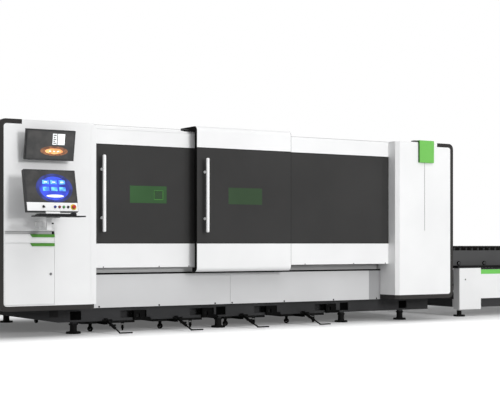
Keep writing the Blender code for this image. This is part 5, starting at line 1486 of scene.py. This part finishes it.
def clad(shape, slots, screws, place, wide, tall, columns, rows, vented):
    """Folded panels over a wall, in a frame with x along the wall, y up it and z out of it."""
    out = place.to_3x3() @ Vector((0, 0, 1))
    column = wide / columns
    row = tall / rows
    for i in range(columns):
        for j in range(rows):
            low_u = -wide / 2 + column * i + panel_joint / 2
            low_v = row * j + panel_joint / 2
            high_u = low_u + column - panel_joint
            high_v = low_v + row - panel_joint
            block(shape, (low_u, low_v, 0.0), (high_u, high_v, panel_proud - 0.0012), 0.0012, 1, place)
            for u in (low_u + panel_screw_inset, high_u - panel_screw_inset):
                for v in (low_v + panel_screw_inset, (low_v + high_v) / 2,
                          high_v - panel_screw_inset):
                    spot = place @ Vector((u, v, panel_proud - 0.0014))
                    turned(screws, panel_screw, spot, out, 12)
            if (i, j) in vented:
                left = (low_u + high_u) / 2 - louvre_wide / 2
                right = (low_u + high_u) / 2 + louvre_wide / 2
                for k in range(louvre_count):
                    v = low_v + louvre_foot + louvre_step * k
                    block(shape, (left, v, panel_proud - 0.0014),
                          (right, v + louvre_tall, panel_proud), 0.0006, 1, place)
                    # A black strip under each louvre is painted shade: the dark of the opening behind the
                    # louvre.
                    block(slots, (left + slot_end_gap, v - slot_tall, panel_proud - 0.0013),
                          (right - slot_end_gap, v - 0.0002, panel_proud - 0.0009), 0.0, 1, place)


wall_low, wall_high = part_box("back_wall")
inner_x, inner_y = wall_low.x + frame_deep, wall_high.y - frame_deep
face_x, face_y = wall_low.x + panel_proud, wall_high.y - panel_proud
shape = bmesh.new()
pulled(shape, [(face_x, wall_low.y), (inner_x, wall_low.y), (inner_x, inner_y),
               (wall_high.x, inner_y), (wall_high.x, face_y), (face_x, face_y)],
       "z", wall_low.z, wall_high.z)
block(shape, (inner_x, inner_y - floor_edge_wide, wall_low.z),
      (wall_high.x, inner_y, wall_low.z + frame_deep))
piece("cladding_frame", shape, frame_dark, "machine", ("back_wall",))
wall_tall = wall_high.z - wall_low.z - 2 * cladding_foot
shape = bmesh.new()
slots = bmesh.new()
screws = bmesh.new()
place = Matrix(((-1, 0, 0), (0, 0, 1), (0, 1, 0))).to_4x4()
place.translation = ((wall_high.x + wall_low.x) / 2, face_y, wall_low.z + cladding_foot)
clad(shape, slots, screws, place, wall_high.x - wall_low.x - cladding_side_margin, wall_tall,
     rear_columns, rows, rear_vented)
place = Matrix(((0, 0, -1), (-1, 0, 0), (0, 1, 0))).to_4x4()
place.translation = (face_x, (wall_high.y + wall_low.y) / 2, wall_low.z + cladding_foot)
clad(shape, slots, screws, place, wall_high.y - wall_low.y - cladding_side_margin, wall_tall,
     left_columns, rows, left_vented)
piece("rear_and_left_cladding", shape, white_coat)
piece("louvre_slots", slots, black_plastic_and_painted_shade)
piece("cladding_screws", screws, barrel_steel)

# The right end is clad in the same way above the pallet port. A black rubber strip on a steel
# clamping bar edges the port and keeps sparks in.
port_top = 0.960
port_rear = 1.260
port_strip_wide = 0.040
port_strip_thick = 0.0040
port_strip_front = 0.025
port_strip_foot = 0.030
bar_inset = 0.010
bar_thick = (0.0038, 0.0062)
end_cladding_foot = 0.060
end_side_margin = 0.020
end_top_margin = 0.070
end_low, end_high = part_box("right_end_wall")
face_x = end_high.x + 0.0002
shape = bmesh.new()
slots = bmesh.new()
screws = bmesh.new()
place = Matrix(((0, 0, 1), (1, 0, 0), (0, 1, 0))).to_4x4()
place.translation = (face_x, (end_low.y + end_high.y) / 2, port_top + end_cladding_foot)
clad(shape, slots, screws, place, end_high.y - end_low.y - end_side_margin,
     end_high.z - port_top - end_top_margin, 2, 1, {(1, 0)})
piece("right_end_cladding", shape, white_coat)
piece("right_end_louvre_slots", slots, black_plastic_and_painted_shade)
piece("right_end_screws", screws, barrel_steel)
strip_rear = port_rear + port_strip_wide
port_strips = (
    ((end_low.y + port_strip_front, port_top + 0.004), (strip_rear, port_top + port_strip_wide)),
    ((port_rear + 0.004, end_low.z + port_strip_foot), (strip_rear, port_top + 0.003)),
)
shape = bmesh.new()
bars = bmesh.new()
for low, high in port_strips:
    block(shape, (face_x, *low), (face_x + port_strip_thick, *high), 0.0010, 1)
    block(bars, (face_x + bar_thick[0], low[0] + bar_inset, low[1] + bar_inset),
          (face_x + bar_thick[1], high[0] - bar_inset, high[1] - bar_inset), 0.0008, 1)
piece("port_rubber", shape, gasket_rubber)
piece("port_clamping_bars", bars, barrel_steel)
